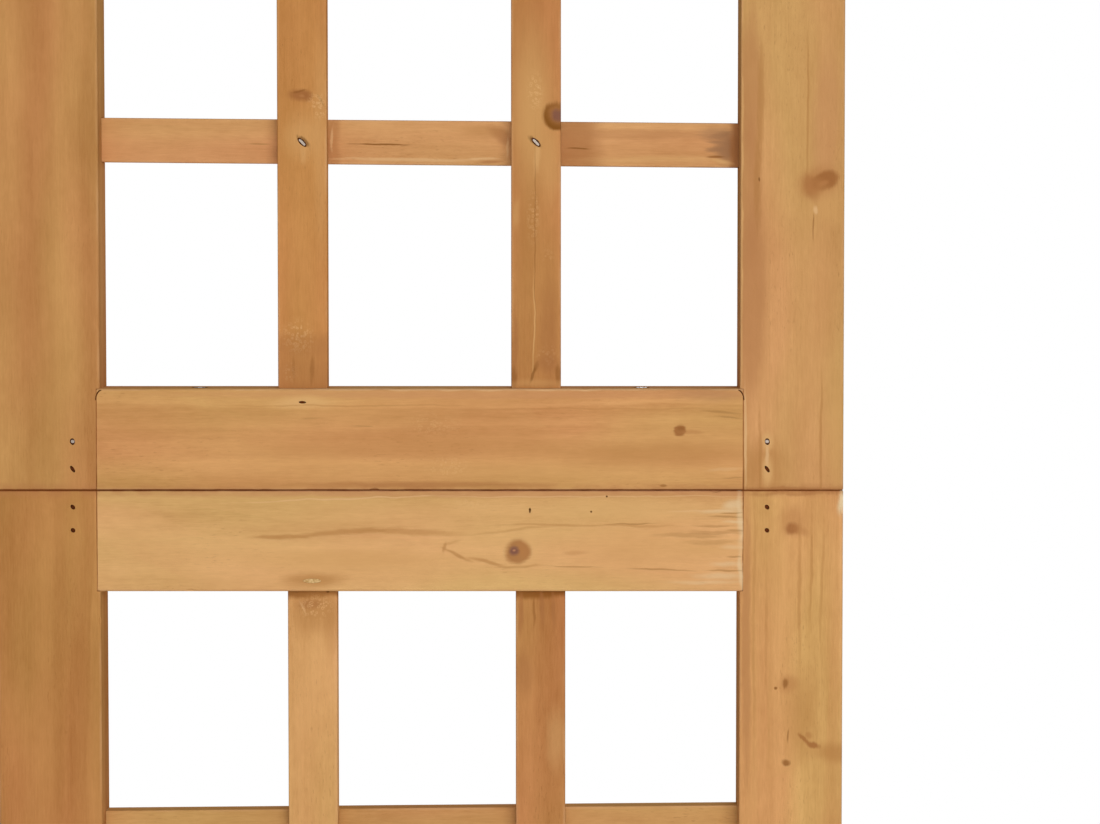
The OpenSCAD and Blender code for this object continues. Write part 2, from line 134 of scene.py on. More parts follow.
class TrellisColours(PropertyGroup):
    pale_stain: colour("Pale stain", "Stained fir of the palest sticks", "#CF9D65")
    deep_stain: colour("Deep stain", "Stained fir of the darkest sticks", "#B9804A")
    end_grain: colour("End grain", "Stain that soaked into the cuts", "#8A5A30")
    peg: colour("Pegs", "Turned beech pegs", "#D2AC7A")
    zinc: colour("Zinc", "Zinc plating of bolts and nuts", "#C9CACC")
    wire: colour("Wire", "Bright wire of brads and staples", "#A89C90")
    hinge: colour("Hinges", "Rolled steel of the hinges", "#B9BABC")


class TrellisStage(PropertyGroup):
    lens: FloatProperty(name="Lens", description="Focal length of the camera, in millimetres",
                        default=118.1)
    floor: length("Floor", "Radius of the floor", 3200)
    key: FloatProperty(name="Key light", description="Power of the large soft light", default=67)
    fill: FloatProperty(name="Fill light", description="Strength of the light from all round",
                        default=0.25)
    paper: colour("Floor", "Pale floor", "#F1EFEB")


# Modelling by hand --------------------------------------------------------------------------------

# How far an edge or a face may turn from an axis and still count as lying along it or facing it
ALONG, ACROSS, FACING = 0.9, 0.1, 0.99
END_GRAIN, GRIME_AND_SHADE = 1, 2  # material slots of a stick, whose slot 0 is its face wood
ROUND_ANGLE = math.radians(40)  # edges that turn by less than this are shaded round


def near(a, b):
    return abs(a - b) < TINY


def on_face(c):
    return near(c.y, 0) or near(c.y, THICK)


def only(*objs):
    """Selects these objects and nothing else; the first is the active one."""
    bpy.ops.object.select_all(action="DESELECT")
    for obj in objs:
        obj.select_set(True)
    bpy.context.view_layer.objects.active = objs[0]
    return objs[0]


def edit(on=True):
    """Goes into edit mode, or back out of it."""
    bpy.ops.object.mode_set(mode="EDIT" if on else "OBJECT")


def settle():
    """Writes the active piece's place, turn and size into its mesh."""
    bpy.ops.object.transform_apply(location=True, rotation=True, scale=True)


def start(shape, stretch=(1, 1, 1), turn=(0, 0, 0), **settings):
    """Adds one of the ready shapes, alone selected, and stretches and turns it."""
    bpy.ops.object.select_all(action="DESELECT")
    getattr(bpy.ops.mesh, f"primitive_{shape}_add")(**settings)
    obj = bpy.context.object
    obj.scale, obj.rotation_euler = stretch, turn
    settle()
    return obj


def block(low, high):
    """A squared block of wood between two corners."""
    low, high = Vector(low), Vector(high)
    return start("cube", high - low, size=1, location=(low + high) / 2)


def bore(x, y, z, width, depth, reach=None, tilt=0.0, taper=1.0, sides=12, spin=-90):
    """A cutter that drills along +Y from (x, y, z), or another way by spin; reach makes it long."""
    stretch, turn = (reach or width, width, depth), (math.radians(spin), tilt, 0)
    return start("cone", stretch, turn, vertices=sides, radius1=0.5, radius2=0.5 * taper, depth=1,
                 location=(x, y, z))


def dent(at, size):
    """A cutter like a thumb, for dents and chips."""
    return start("ico_sphere", size, subdivisions=2, radius=1, location=at)


def pick(obj, kind, test):
    """In edit mode, selects the edges or faces whose centre and direction (or normal) pass."""
    bpy.ops.mesh.select_mode(type=kind)
    bpy.ops.mesh.select_all(action="DESELECT")
    mesh = bmesh.from_edit_mesh(obj.data)
    if kind == "FACE":
        for face in mesh.faces:
            face.select_set(bool(test(face.calc_center_median(), face.normal)))
    else:
        for edge in mesh.edges:
            a, b = (v.co for v in edge.verts)
            edge.select_set(bool(test((a + b) / 2, (b - a).normalized())))
    bmesh.update_edit_mesh(obj.data)


def ease(obj, width, test, segments=3):
    """Rounds the edges that pass the test, as a sanding block or a router does."""
    pick(obj, "EDGE", test)
    bpy.ops.mesh.bevel(offset=width, segments=segments, affect="EDGES")


def cut(obj, cutters, slot=END_GRAIN):
    """Takes the cutters out of a piece, and gives the fresh faces this material slot."""
    if not cutters:
        return
    cutter = only(*cutters)
    if len(cutters) > 1:
        bpy.ops.object.join()
    for polygon in cutter.data.polygons:
        polygon.material_index = slot
    only(obj)
    saw = obj.modifiers.new("Joinery", "BOOLEAN")
    saw.operation = "DIFFERENCE"
    saw.solver = "EXACT"
    saw.object = cutter
    bpy.ops.object.modifier_apply(modifier=saw.name)
    bpy.data.objects.remove(cutter, do_unlink=True)


def smooth(obj):
    """Shades the eased edges round and keeps the broad faces flat."""
    only(obj)
    bpy.ops.object.shade_smooth_by_angle(angle=ROUND_ANGLE)
    even = obj.modifiers.new("Even faces", "WEIGHTED_NORMAL")
    even.keep_sharp = True
    bpy.ops.object.modifier_apply(modifier=even.name)


def lay_woods(obj):
    """Gives a stick its face wood, and the materials of the cuts and pits that come later."""
    for name in ("stained_fir", "fir_end_grain", "grimy_shaded_pit"):
        obj.data.materials.append(bpy.data.materials[name])


def lay_grain(obj, upright, low, high, lot, stain):
    """Notes on each point where it lies in its own stick (along the grain, across it and through
    it), the stick's half sizes, its distance from the seam, its seed and its stain."""
    middle, half = (low + high) / 2, (high - low) / 2
    order = (2, 0, 1) if upright else (0, 2, 1)
    where, size, seam = [], [], []
    for vertex in obj.data.vertices:
        offset = vertex.co - middle
        where += [offset[i] for i in order]
        size += [half[i] for i in order]
        seam.append(abs(vertex.co.z - SEAM))
    for name, kind, field, values in (
        ("grain", "FLOAT_VECTOR", "vector", where),
        ("half", "FLOAT_VECTOR", "vector", size),
        ("seam", "FLOAT", "value", seam),
        ("lot", "FLOAT", "value", [lot] * len(seam)),
        ("stain", "FLOAT_COLOR", "color", [*stain, 1] * len(seam)),
    ):
        obj.data.attributes.new(name, kind, "POINT").data.foreach_set(field, values)


def nicks(obj, low, high, upright, rng, count):
    """Small dents along the long edges, from handling."""
    cutters = []
    axis = 2 if upright else 0
    for number in range(count):
        at = Vector([rng.choice(pair) for pair in zip(low, high)])
        along = (number + rng.uniform(0.1, 0.9)) / count
        at[axis] = low[axis] + along * (high[axis] - low[axis])
        size = [rng.uniform(0.9, 1.3) * MM for _ in range(3)]
        size[axis] = rng.uniform(2, 6) * MM
        cutters.append(dent(at, size))
    cut(obj, cutters, slot=0)


def turned_groove(at, wide, tall, thick):
    """A cutter for a quarter-round line; wide and tall are signed, from its middle to its ends."""
    obj = start("circle", turn=(0, math.radians(90), 0), vertices=6, radius=thick / abs(wide),
                fill_type="NGON", location=(0, 0, 1))
    edit()
    bpy.ops.mesh.select_all(action="SELECT")
    bpy.ops.mesh.spin(steps=8, angle=math.radians(-90), center=(0, 0, 0), axis=(0, 1, 0))
    bpy.ops.mesh.select_all(action="SELECT")
    bpy.ops.mesh.remove_doubles(threshold=1e-6)
    bpy.ops.mesh.fill_holes(sides=0)
    edit(False)
    obj.scale, obj.location = (wide, abs(wide), tall), at
    settle()
    edit()
    bpy.ops.mesh.select_all(action="SELECT")
    bpy.ops.mesh.normals_make_consistent(inside=False)
    edit(False)
    return obj


# Where things stand in a panel --------------------------------------------------------------------


def outward(half, distance):
    """Height of a point at this distance from the seam, in the upper or the lower frame."""
    return SEAM + distance if half == "upper" else SEAM - distance


def slat_heights(half, sizes):
    window = (FRAME_H - 2 * RAIL_H - CROSSINGS * sizes.slat) / (CROSSINGS + 1)
    return [outward(half, RAIL_H + (k + 1) * window + (k + 0.5) * sizes.slat)
            for k in range(CROSSINGS)]


def upright_places(half, sizes):
    low, high = span(half + "_uprights")
    return [low.x + sizes.upright / 2, high.x - sizes.upright / 2]


def span_of_pegs(sizes):
    """Middles of the two pegs, from the outer sides of the pegs' node."""
    low, high = span("pegs")
    return low.x + sizes.peg / 2, high.x - sizes.peg / 2


# Distances of the tenon brads from the seam or the frame's end, and of the uprights' brads from
# the rail's inner edge
TENON_BRADS = {"upper": (10 * MM, 23 * MM), "lower": (8 * MM, 19 * MM)}
UPRIGHT_BRADS = {"upper": 6.4 * MM, "lower": 5 * MM}
SHINY_BRAD = SEAM + TENON_BRADS["upper"][1]

# Their pits: how far below the face their middle lies and how deep they are drilled, and of those
# over the tenon brads the width and length as shares of a pit, and the turn in degrees
PIT_SUNK, PIT_DEEP = 0.25 * MM, 2.6 * MM
PIT_SHAPES = {
    "upper": ((0.7, 1.6, 56), (1.05, 1.4, 80)),
    "lower": ((0.85, 1.15, 50), (0.9, 1.05, 40)),
}

# The almond-shaped slots of the staples: sunk, width, depth, length, turn, taper and sides
SLOT = (0.3 * MM, 2.8 * MM, 1.2 * MM, 6.8 * MM, math.radians(45), 0.4, 14)

# Depth of a peg's hole through both frames. The bolts: their distance from the ends of their node,
# then width and reach of the nut's hole, how deep that starts below the opening, and width, depth
# and taper of the sunk hole round the bolt's head
PEG_HOLE = 41 * MM
BOLT_IN, NUT_WIDE, NUT_DEEP, NUT_DOWN = 4.6 * MM, 8.3 * MM, 31 * MM, 15 * MM
BOLT_PAST = 2 * MM  # how far the bolts' drill comes out of the rails at both ends
SINK_WIDE, SINK_DEEP, SINK_TAPER = 9.5 * MM, 4.4 * MM, 0.55

# The lines round the worn corners of the upper frame's rails: their middle from the opening's
# corner, sideways, before the face and up, then their reach sideways and up, and their thickness
CORNER_X, CORNER_Y, CORNER_Z = 1.6 * MM, -0.06 * MM, 5.4 * MM
CORNER_WIDE, CORNER_TALL, CORNER_THICK = 3.5 * MM, 5.1 * MM, 0.3 * MM

# The filler over the pin of a left upright: height, depth and length of its pit, then the middle
# of its film below the face, the film's thickness, how its edge is rounded and how uneven it lies
FILLER_HIGH, FILLER_DEEP, FILLER_LONG = 2.2 * MM, 1.2 * MM, 8.6 * MM
FILM_SUNK, FILM_THICK, FILM_ROUND, FILM_UNEVEN = 0.33 * MM, 0.5 * MM, 0.08 * MM, 0.03 * MM


def brad_pits(half, x, pit):
    """The pits over the brads that pin the tenons of one stile."""
    return [
        bore(x, PIT_SUNK, outward(half, place), pit * wide, PIT_DEEP, pit * long,
             math.radians(turn), 0.8)
        for distance, (wide, long, turn) in zip(TENON_BRADS[half], PIT_SHAPES[half])
        for place in (distance, FRAME_H - distance)
    ]


def corner_grooves(half, out):
    """The lines round the worn corners of the upper frame's rails, on the front face: one at each
    corner of the opening, on the side that out looks away from. Their dark pit colour paints the
    shade at the corners' rounding."""
    if half == "lower":
        return []
    edge = STILE_W if out == 1 else PANEL_W - STILE_W
    grooves = []
    for place, way in ((RAIL_H, -1), (FRAME_H - RAIL_H, 1)):  # the way into the rail
        middle = (edge + out * CORNER_X, CORNER_Y, SEAM + place + way * CORNER_Z)
        grooves.append(turned_groove(middle, -out * CORNER_WIDE, -way * CORNER_TALL, CORNER_THICK))
    return grooves


# The materials ------------------------------------------------------------------------------------

# The setting that a kind of node is known by; its value may follow the kind, as in "Math ADD"
KNOWN_BY = {
    "Attribute": "attribute_name", "Mapping": "vector_type", "MapRange": "interpolation_type",
    "Math": "operation", "Mix": "data_type", "TexNoise": "noise_dimensions",
    "TexWhiteNoise": "noise_dimensions", "VectorMath": "operation",
}


def add(tree, kind, inputs=(), **settings):
    """Adds a node with its settings, and links or sets its inputs."""
    kind, *value = kind.split()
    node = tree.nodes.new("ShaderNode" + kind)
    if value:
        settings[KNOWN_BY[kind]] = value[0]
    for name, value in settings.items():
        setattr(node, name, value)
    for key, value in dict(inputs).items():
        if isinstance(value, bpy.types.Node):
            value = value.outputs[2 if value.type == "MIX" else 0]
        if isinstance(value, bpy.types.NodeSocket):
            tree.links.new(value, node.inputs[key])
        else:
            node.inputs[key].default_value = value
    return node


def new_material(name, **plain):
    """A material with a Principled shader whose plain values stand on its own sockets."""
    material = bpy.data.materials.new(name)
    material.use_nodes = True
    shader = material.node_tree.nodes["Principled BSDF"]
    for key, value in plain.items():
        shader.inputs[key.replace("_", " ")].default_value = value
    return material, material.node_tree, shader


def paint(tint, share=1.0):
    """A colour for a shader from a hex code or a panel colour, darker or lighter by a share."""
    return (*(c * share for c in (linear(tint) if isinstance(tint, str) else tint)), 1)


def mottled(tree, pattern, low, high, one, other):
    """Goes over from one colour to another between two values of a pattern."""
    part = add(tree, "MapRange", {"Value": pattern, 1: low, 2: high})
    return add(tree, "Mix RGBA", {0: part, 6: one, 7: other})


def dress(tree, shader, shade, rough=None, relief=None, strength=0.0, depth=0.0):
    """Gives a shader its colour, and the roughness and fine relief of its surface."""
    tree.links.new(shade.outputs[2], shader.inputs["Base Color"])
    if rough:
        tree.links.new(rough.outputs[0], shader.inputs["Roughness"])
    if relief:
        bump = add(tree, "Bump", {"Height": relief, "Strength": strength, "Distance": depth})
        tree.links.new(bump.outputs[0], shader.inputs["Normal"])


def figure(tree, place, along, across, detail):
    """Noise drawn out along the grain; its marks are about this long and wide, in millimetres."""
    shrink = (1 / MM / along, 1 / MM / across, 1 / MM / across)
    spread = add(tree, "VectorMath MULTIPLY", {0: place, 1: shrink})
    return add(tree, "TexNoise", {"Vector": spread, "Scale": 1.0, "Detail": detail})


# The figure of planed fir: length and width of each kind of streak in millimetres, how much it
# counts, and the detail of its noise
FIGURES = (
    (90, 34, 0.62, 2),  # clouds where the stain took more
    (330, 11, 0.3, 1),  # broad streaks
    (40, 2.6, 0.16, 2),  # narrow streaks
    (9, 5, 0.2, 2),  # mottle from the dip
    (16, 0.9, 0.17, 2),  # fibres, drawn coarser than they are so that they show
    (5, 0.7, 0.2, 1),  # short torn fibres
)
SWAY = ((380, 60, 0.026, 1), (60, 14, 0.006, 2))  # how the growth bands wander, as above

# Where stain and dirt gather: by the seam or a stick's end, how far in millimetres, how strongly,
# in what colour, and how patchily
GATHERED = (
    ("seam", 4.5, 0.45, "#B0754A", 0.9),
    ("seam", 1.3, 0.45, "#A0643C", 0.5),
    ("seam", 0.7, 1.0, "#6A3414", 0.25),
    ("end", 0.6, 0.9, "#8A4E24", 0.4),
)

THROUGH = 1e3  # depth of a knot, which goes through any stick
MARK_DEPTH = 9 * MM  # of the other marks, from the front round the edge
CURL = 1.5 * MM  # distance between torn curls
PLAIN = (0, 1)  # turn and weight of a mark that gives none


def heart_beside(tree):
    """The chances of a stick's own seed, and where the tree's heart lies beside the stick."""
    lot = add(tree, "Attribute lot").outputs["Fac"]
    chance = add(tree, "TexWhiteNoise 1D", {"W": lot}).outputs["Color"]
    heart = add(tree, "VectorMath MULTIPLY_ADD",
                {0: chance, 1: (0, 0.07, 0.03), 2: (0, -0.035, 0.02)})
    return chance, heart


def knot_flow(tree, place, across, knots):
    """Bends the lines of growth round each knot (l, w, size in millimetres) of a stick."""
    for l, w, size in knots:
        local = add(tree, "Mapping TEXTURE",
                    {"Vector": place, "Location": (l * MM, w * MM, 0),
                     "Scale": (size * 2.6 * MM, size * MM, THROUGH)})
        square = add(tree, "VectorMath DOT_PRODUCT", {0: local, 1: local})
        shield = add(tree, "Math ADD", {0: square.outputs["Value"], 1: 1.0})
        offset = add(tree, "Math SUBTRACT", {0: across, 1: w * MM})
        pull = add(tree, "Math DIVIDE", {0: offset, 1: shield})
        across = add(tree, "Math SUBTRACT", {0: across, 1: pull})
    return across


def laid_marks(tree, place, shade, ragged, marks):
    """Lays soft spots and lines over the colour.

    Marks come in rows of one kind from KINDS. A mark is (l, w, length, width, turn, weight): its
    middle and its half lengths in millimetres, along and across the grain, its turn in degrees,
    and how much more or less than its kind it shows. Turn and weight are left out where they are
    PLAIN. Knots go through the stick, and the other marks reach a few millimetres round the edge
    from its front. Torn curls are the small loops that a blunt planer lifts.
    """
    curls = add(tree, "TexVoronoi", {"Vector": place, "Scale": 1 / CURL})
    curls = add(tree, "Math SUBTRACT", {0: curls, 1: 0.36})
    curls = add(tree, "Math ABSOLUTE", {0: curls})
    curls = add(tree, "MapRange", {"Value": curls, 1: 0.03, 2: 0.13, 3: 1.0, 4: 0.0})
    for kind, *row in marks:
        code, strength, soft = KINDS[kind]
        depth = THROUGH if "knot" in kind else MARK_DEPTH
        for mark in row:
            l, w, reach, breadth, turn, weight = mark + PLAIN[len(mark) - 4 :]
            local = add(tree, "Mapping TEXTURE",
                        {"Vector": place, "Location": (l * MM, w * MM, 0),
                         "Rotation": (0, 0, math.radians(turn)),
                         "Scale": (reach * MM, breadth * MM, depth)})
            out = add(tree, "VectorMath LENGTH", {0: local}).outputs["Value"]
            out = add(tree, "Math MULTIPLY_ADD", {0: ragged, 1: min(0.5, 0.7 / breadth), 2: out})
            fade = add(tree, "MapRange SMOOTHSTEP",
                       {"Value": out, 1: 1 - soft, 2: 1 + soft, 3: min(1.0, strength * weight),
                        4: 0.0})
            if kind == "torn_curls":
                fade = add(tree, "Math MULTIPLY", {0: fade, 1: curls})
            shade = add(tree, "Mix RGBA", {0: fade, 6: shade, 7: paint(code)})
    return shade


def seam_and_ends(tree, end, place, shade):
    """Darkens the wood where stain and dirt gather: in the seam, and round each stick's ends."""
    seam = add(tree, "Attribute seam").outputs["Fac"]
    patchy = figure(tree, place, 9, 5, 2)
    for where, reach, strength, code, power in GATHERED:
        distance = seam if where == "seam" else end
        fade = add(tree, "MapRange SMOOTHSTEP",
                   {"Value": distance, 1: 0.3 * reach * MM, 2: reach * MM, 3: strength, 4: 0.0})
        broken = add(tree, "MapRange", {"Value": patchy, 1: 0.35, 2: 0.6, 3: 1 - power, 4: 1.0})
        fade = add(tree, "Math MULTIPLY", {0: fade, 1: broken})
        shade = add(tree, "Mix RGBA", {0: fade, 6: shade, 7: paint(code)})
    return shade


def stained_fir(name, knots=(), marks=()):
    """Stained fir, planed and sanded, then dipped: a soft satin that shows low-contrast growth
    bands, short dark fibres, and clouds that drift between yellow and pink."""
    material, tree, shader = new_material(name, Specular_IOR_Level=0.0)
    grain = add(tree, "Attribute grain").outputs["Vector"]
    half = add(tree, "Attribute half").outputs["Vector"]
    stain = add(tree, "Attribute stain").outputs["Color"]
    chance, heart = heart_beside(tree)
    shift = add(tree, "VectorMath SCALE", {0: chance, "Scale": 9.0})
    place = add(tree, "VectorMath ADD", {0: grain, 1: shift})
    size = add(tree, "VectorMath ABSOLUTE", {0: grain})
    inside = add(tree, "VectorMath SUBTRACT", {0: half, 1: size})
    inside = add(tree, "SeparateXYZ", {0: inside}).outputs

    # growth bands: shells round a heart that lies beside the stick, a few millimetres apart
    split = add(tree, "SeparateXYZ", {0: grain}).outputs
    across = knot_flow(tree, grain, split["Y"], knots)
    for along, wide, amount, detail in SWAY:
        sway = figure(tree, place, along, wide, detail)
        across = add(tree, "Math MULTIPLY_ADD", {0: sway, 1: amount, 2: across})
    shell = add(tree, "CombineXYZ", {"Y": across, "Z": split["Z"]})
    radius = add(tree, "VectorMath DISTANCE", {0: shell, 1: heart}).outputs["Value"]
    bands = add(tree, "TexNoise 1D", {"W": radius, "Scale": 190.0, "Detail": 1.0})
    zones = add(tree, "TexNoise 1D", {"W": radius, "Scale": 75.0, "Detail": 0.0})
    zones = add(tree, "MapRange SMOOTHSTEP", {"Value": zones, 1: 0.45, 2: 0.56, 3: 0.35, 4: 0.48})
    tone = add(tree, "Math MULTIPLY_ADD", {0: bands, 1: 0.16, 2: zones})
    for along, wide, amount, detail in FIGURES:
        streak = figure(tree, place, along, wide, detail)
        tone = add(tree, "Math MULTIPLY_ADD", {0: streak, 1: amount, 2: tone})
        tone = add(tree, "Math SUBTRACT", {0: tone, 1: amount / 2})

    dark = add(tree, "Mix RGBA", {0: 1.0, 6: stain, 7: (0.66, 0.55, 0.42, 1)},
               blend_type="MULTIPLY")
    light = add(tree, "VectorMath MULTIPLY", {0: stain, 1: (1.34, 1.45, 1.58)})
    shade = add(tree, "Mix RGBA", {0: tone, 6: dark, 7: light})
    drift = figure(tree, place, 130, 30, 1)
    tint = mottled(tree, drift, 0.35, 0.65, (1.03, 0.955, 0.98, 1), (0.975, 1.03, 0.95, 1))
    shade = add(tree, "Mix RGBA", {0: 1.0, 6: shade, 7: tint}, blend_type="MULTIPLY")

    # dark flecks, thick in some places and absent in others
    fleck = figure(tree, place, 3.2, 0.8, 1)
    fleck = add(tree, "MapRange", {"Value": fleck, 1: 0.64, 2: 0.74, 3: 0.0, 4: 0.3})
    thick = figure(tree, place, 90, 22, 1)
    thick = add(tree, "MapRange", {"Value": thick, 1: 0.5, 2: 0.66})
    fleck = add(tree, "Math MULTIPLY", {0: fleck, 1: thick})
    shade = add(tree, "Mix RGBA", {0: fleck, 6: shade, 7: paint("#8E5C31")})

    # the long edges, rubbed lighter in places, and lighter too as a painted highlight along the
    # arrises
    arris = add(tree, "Math MAXIMUM", {0: inside["Y"], 1: inside["Z"]})
    rub_and_highlight = add(tree, "MapRange", {"Value": arris, 1: 0.4 * MM, 2: 1.4 * MM, 3: 0.5, 4: 0.0})
    patchy = figure(tree, place, 30, 8, 2)
    patchy = add(tree, "MapRange", {"Value": patchy, 1: 0.42, 2: 0.6})
    rub_and_highlight = add(tree, "Math MULTIPLY", {0: rub_and_highlight, 1: patchy})
    shade = add(tree, "Mix RGBA", {0: rub_and_highlight, 6: shade, 7: paint("#D9A877")})

    shade = seam_and_ends(tree, inside["X"], place, shade)
    if marks:
        # the marks' outlines wander, and bleed along the fibres; depth counts from the front
        wander = add(tree, "TexNoise", {"Vector": grain, "Scale": 60.0, "Detail": 3.0})
        bent = add(tree, "VectorMath MULTIPLY_ADD",
                   {0: wander.outputs["Color"], 1: (0.006, 0.0024, 0), 2: (-0.003, -0.0012, 0)})
        bent = add(tree, "VectorMath ADD", {0: grain, 1: bent})
        bent = add(tree, "VectorMath MULTIPLY_ADD", {0: half, 1: (0, 0, 1), 2: bent})
        ragged = figure(tree, place, 5, 0.8, 2)
        ragged = add(tree, "Math MULTIPLY_ADD", {0: ragged, 1: 2.0, 2: -1.0})
        shade = laid_marks(tree, bent, shade, ragged, marks)

    sheen = add(tree, "MapRange", {"Value": tone, 3: 0.66, 4: 0.52})
    fibre = figure(tree, place, 14, 0.6, 2)
    relief = add(tree, "Math ADD", {0: tone, 1: fibre})
    dress(tree, shader, shade, sheen, relief, 0.25, 0.2 * MM)
    return material


def fir_end_grain(tint):
    """Fir in the cuts of the joints: the stain soaks in, so it is darker, with growth rings."""
    tree, shader = new_material("fir_end_grain", Roughness=0.8, Specular_IOR_Level=0.0)[1:]
    grain = add(tree, "Attribute grain").outputs["Vector"]
    heart = heart_beside(tree)[1]
    flat = add(tree, "VectorMath MULTIPLY", {0: grain, 1: (0, 1, 1)})
    radius = add(tree, "VectorMath DISTANCE", {0: flat, 1: heart}).outputs["Value"]
    rings = add(tree, "TexNoise 1D", {"W": radius, "Scale": 420.0, "Detail": 1.0})
    pores = add(tree, "TexNoise", {"Vector": grain, "Scale": 1900.0, "Detail": 2.0})
    both = add(tree, "Math MULTIPLY_ADD", {0: pores, 1: 0.3, 2: rings})
    shade = mottled(tree, both, 0.52, 0.74, paint(tint, 0.55), paint(tint, 1.35))
    dress(tree, shader, shade, None, pores, 0.4, 0.2 * MM)


def grimy_shaded_pit():
    """Crushed fibres in a nail pit, dark with stain and dirt, and darker still as painted shade of
    the hollow.
    """
    tree, shader = new_material("grimy_shaded_pit", Roughness=0.9, Specular_IOR_Level=0.0)[1:]
    place = add(tree, "TexCoord").outputs["Object"]
    fibres = add(tree, "TexNoise", {"Vector": place, "Scale": 2600.0, "Detail": 2.0})
    dress(tree, shader, mottled(tree, fibres, 0.45, 0.7, paint("#38190A"), paint("#7A431E")))


def wood_filler():
    """Water-based wood filler, knifed in and sanded: pale, chalky and a little porous."""
    tree, shader = new_material("wood_filler", Roughness=0.85, Specular_IOR_Level=0.1)[1:]
    place = add(tree, "TexCoord").outputs["Object"]
    chalk = add(tree, "TexNoise", {"Vector": place, "Scale": 900.0, "Detail": 3.0})
    shade = mottled(tree, chalk, 0.35, 0.62, paint("#BF9358"), paint("#E6C48C"))
    pores = add(tree, "TexVoronoi", {"Vector": place, "Scale": 480.0})
    pores = add(tree, "MapRange", {"Value": pores, 1: 0.1, 2: 0.2, 3: 0.8, 4: 0.0})
    shade = add(tree, "Mix RGBA", {0: pores, 6: shade, 7: paint("#7A5228")})
    dress(tree, shader, shade, None, chalk, 0.3, 0.1 * MM)


def scratched_metal(name, tint, rough, scale, stretch, strength):
    """Steel with fine scratches along one way; scale counts the marks in a metre."""
    material, tree, shader = new_material(name, Metallic=1.0)
    place = add(tree, "TexCoord").outputs["Object"]
    drawn = add(tree, "VectorMath MULTIPLY", {0: place, 1: stretch})
    lines = add(tree, "TexNoise", {"Vector": drawn, "Scale": scale, "Detail": 3.0})
    dull = add(tree, "TexNoise", {"Vector": place, "Scale": 260.0, "Detail": 3.0})
    shade = mottled(tree, dull, 0.35, 0.7, paint(tint), paint(tint, 0.72))
    spread = add(tree, "MapRange", {"Value": lines, 3: rough - 0.12, 4: rough + 0.14})
    dress(tree, shader, shade, spread, lines, strength, 0.1 * MM)
    return material


def drawn_wire(panel, tint):
    """Drawn steel wire: bright down the middle of the staple crowns, with rust and painted shade
    along their edges; painted dull and dark as shade on the brads, whose heads lie in deep pits
    near the frame's faces, apart from the one at SHINY_BRAD, which still glints. The two are told
    apart by their depth in the panel, and an edge by how far its rounded normal turns."""
    material, tree, shader = new_material("drawn_wire_" + panel, Metallic=1.0)
    at = panel_place(panel)
    place = add(tree, "Mapping TEXTURE", {"Vector": add(tree, "TexCoord").outputs["Object"],
                                          "Location": at.translation, "Rotation": at.to_euler()})
    place_of = add(tree, "SeparateXYZ", {0: place}).outputs
    deep = add(tree, "Math SUBTRACT", {0: place_of["Y"], 1: THICK / 2})
    deep = add(tree, "Math ABSOLUTE", {0: deep})
    brad = add(tree, "MapRange", {"Value": deep, 1: THICK / 2 - 3.5 * MM, 2: THICK / 2 - 2.5 * MM})
    off = add(tree, "Math SUBTRACT", {0: place_of["Z"], 1: SHINY_BRAD})
    off = add(tree, "Math ABSOLUTE", {0: off})
    dull = add(tree, "MapRange", {"Value": off, 1: 0.5 * MM, 2: 0.9 * MM})
    brad = add(tree, "Math MULTIPLY", {0: brad, 1: dull})
    mottle = add(tree, "TexNoise", {"Vector": place, "Scale": 1100.0, "Detail": 2.0})
    bright = add(tree, "Mix RGBA", {0: mottle, 6: paint(tint, 0.62), 7: paint(tint)})
    rounded = add(tree, "Bevel", {"Radius": 0.55 * MM})
    turned = add(tree, "VectorMath DOT_PRODUCT",
                 {0: rounded, 1: add(tree, "NewGeometry").outputs["True Normal"]})
    edge = add(tree, "MapRange", {"Value": turned.outputs["Value"], 1: 0.998, 2: 0.93})
    # painted shade: darkens the brads, and with rust the edges of the staple crowns
    rust_and_shade = add(tree, "Math MAXIMUM", {0: brad, 1: edge})
    shade = add(tree, "Mix RGBA", {0: rust_and_shade, 6: bright, 7: paint("#4A2410")})
    rough = add(tree, "MapRange", {"Value": mottle, 3: 0.36, 4: 0.6})
    dress(tree, shader, shade, rough)
    return material


def turned_beech(tint):
    """Beech rod, cut and fluted by machine: short brown rays on pale pinkish wood."""
    material, tree, shader = new_material("turned_beech", Roughness=0.62)
    place = add(tree, "TexCoord").outputs["Object"]
    drawn = add(tree, "VectorMath MULTIPLY", {0: place, 1: (1, 1, 0.12)})
    rays = add(tree, "TexNoise", {"Vector": drawn, "Scale": 1400.0, "Detail": 2.0})
    shade = mottled(tree, rays, 0.45, 0.7, paint(tint), paint(tint, 0.62))
    dress(tree, shader, shade, None, rays, 0.2, 0.1 * MM)
    return material


# Placing a finished stick -------------------------------------------------------------------------

LOTS = 50  # the seeds of sticks lie between 0 and this
TIMBER_NICKS, SLAT_NICKS = 3, 1  # for each stick


def panel_place(panel):
    """Where a panel stands: the outer two squarely, the middle one turned between their hinges."""
    if panel == "right":
        return Matrix.Translation(RIGHT_CORNER)
    if panel == "left":
        return Matrix.Translation(LEFT_CORNER)
    back = Matrix.Translation((-PANEL_W / 2, -THICK / 2, 0))
    return Matrix.Rotation(FOLD, 4, "Z") @ back


def stick_wood(panel, key):
    """Seed and stain of a stick: those in the photograph have their own, the rest go by lot."""
    rng = random.Random(f"{panel} {key}")
    lot = rng.uniform(0, LOTS)
    colours = bpy.context.scene.trellis_colours
    if panel == "right" and key in PHOTO_WOOD:
        return PHOTO_WOOD[key][0], linear(PHOTO_WOOD[key][1])
    pale, deep = Vector(colours.pale_stain), Vector(colours.deep_stain)
    return lot, list(deep.lerp(pale, rng.random()))


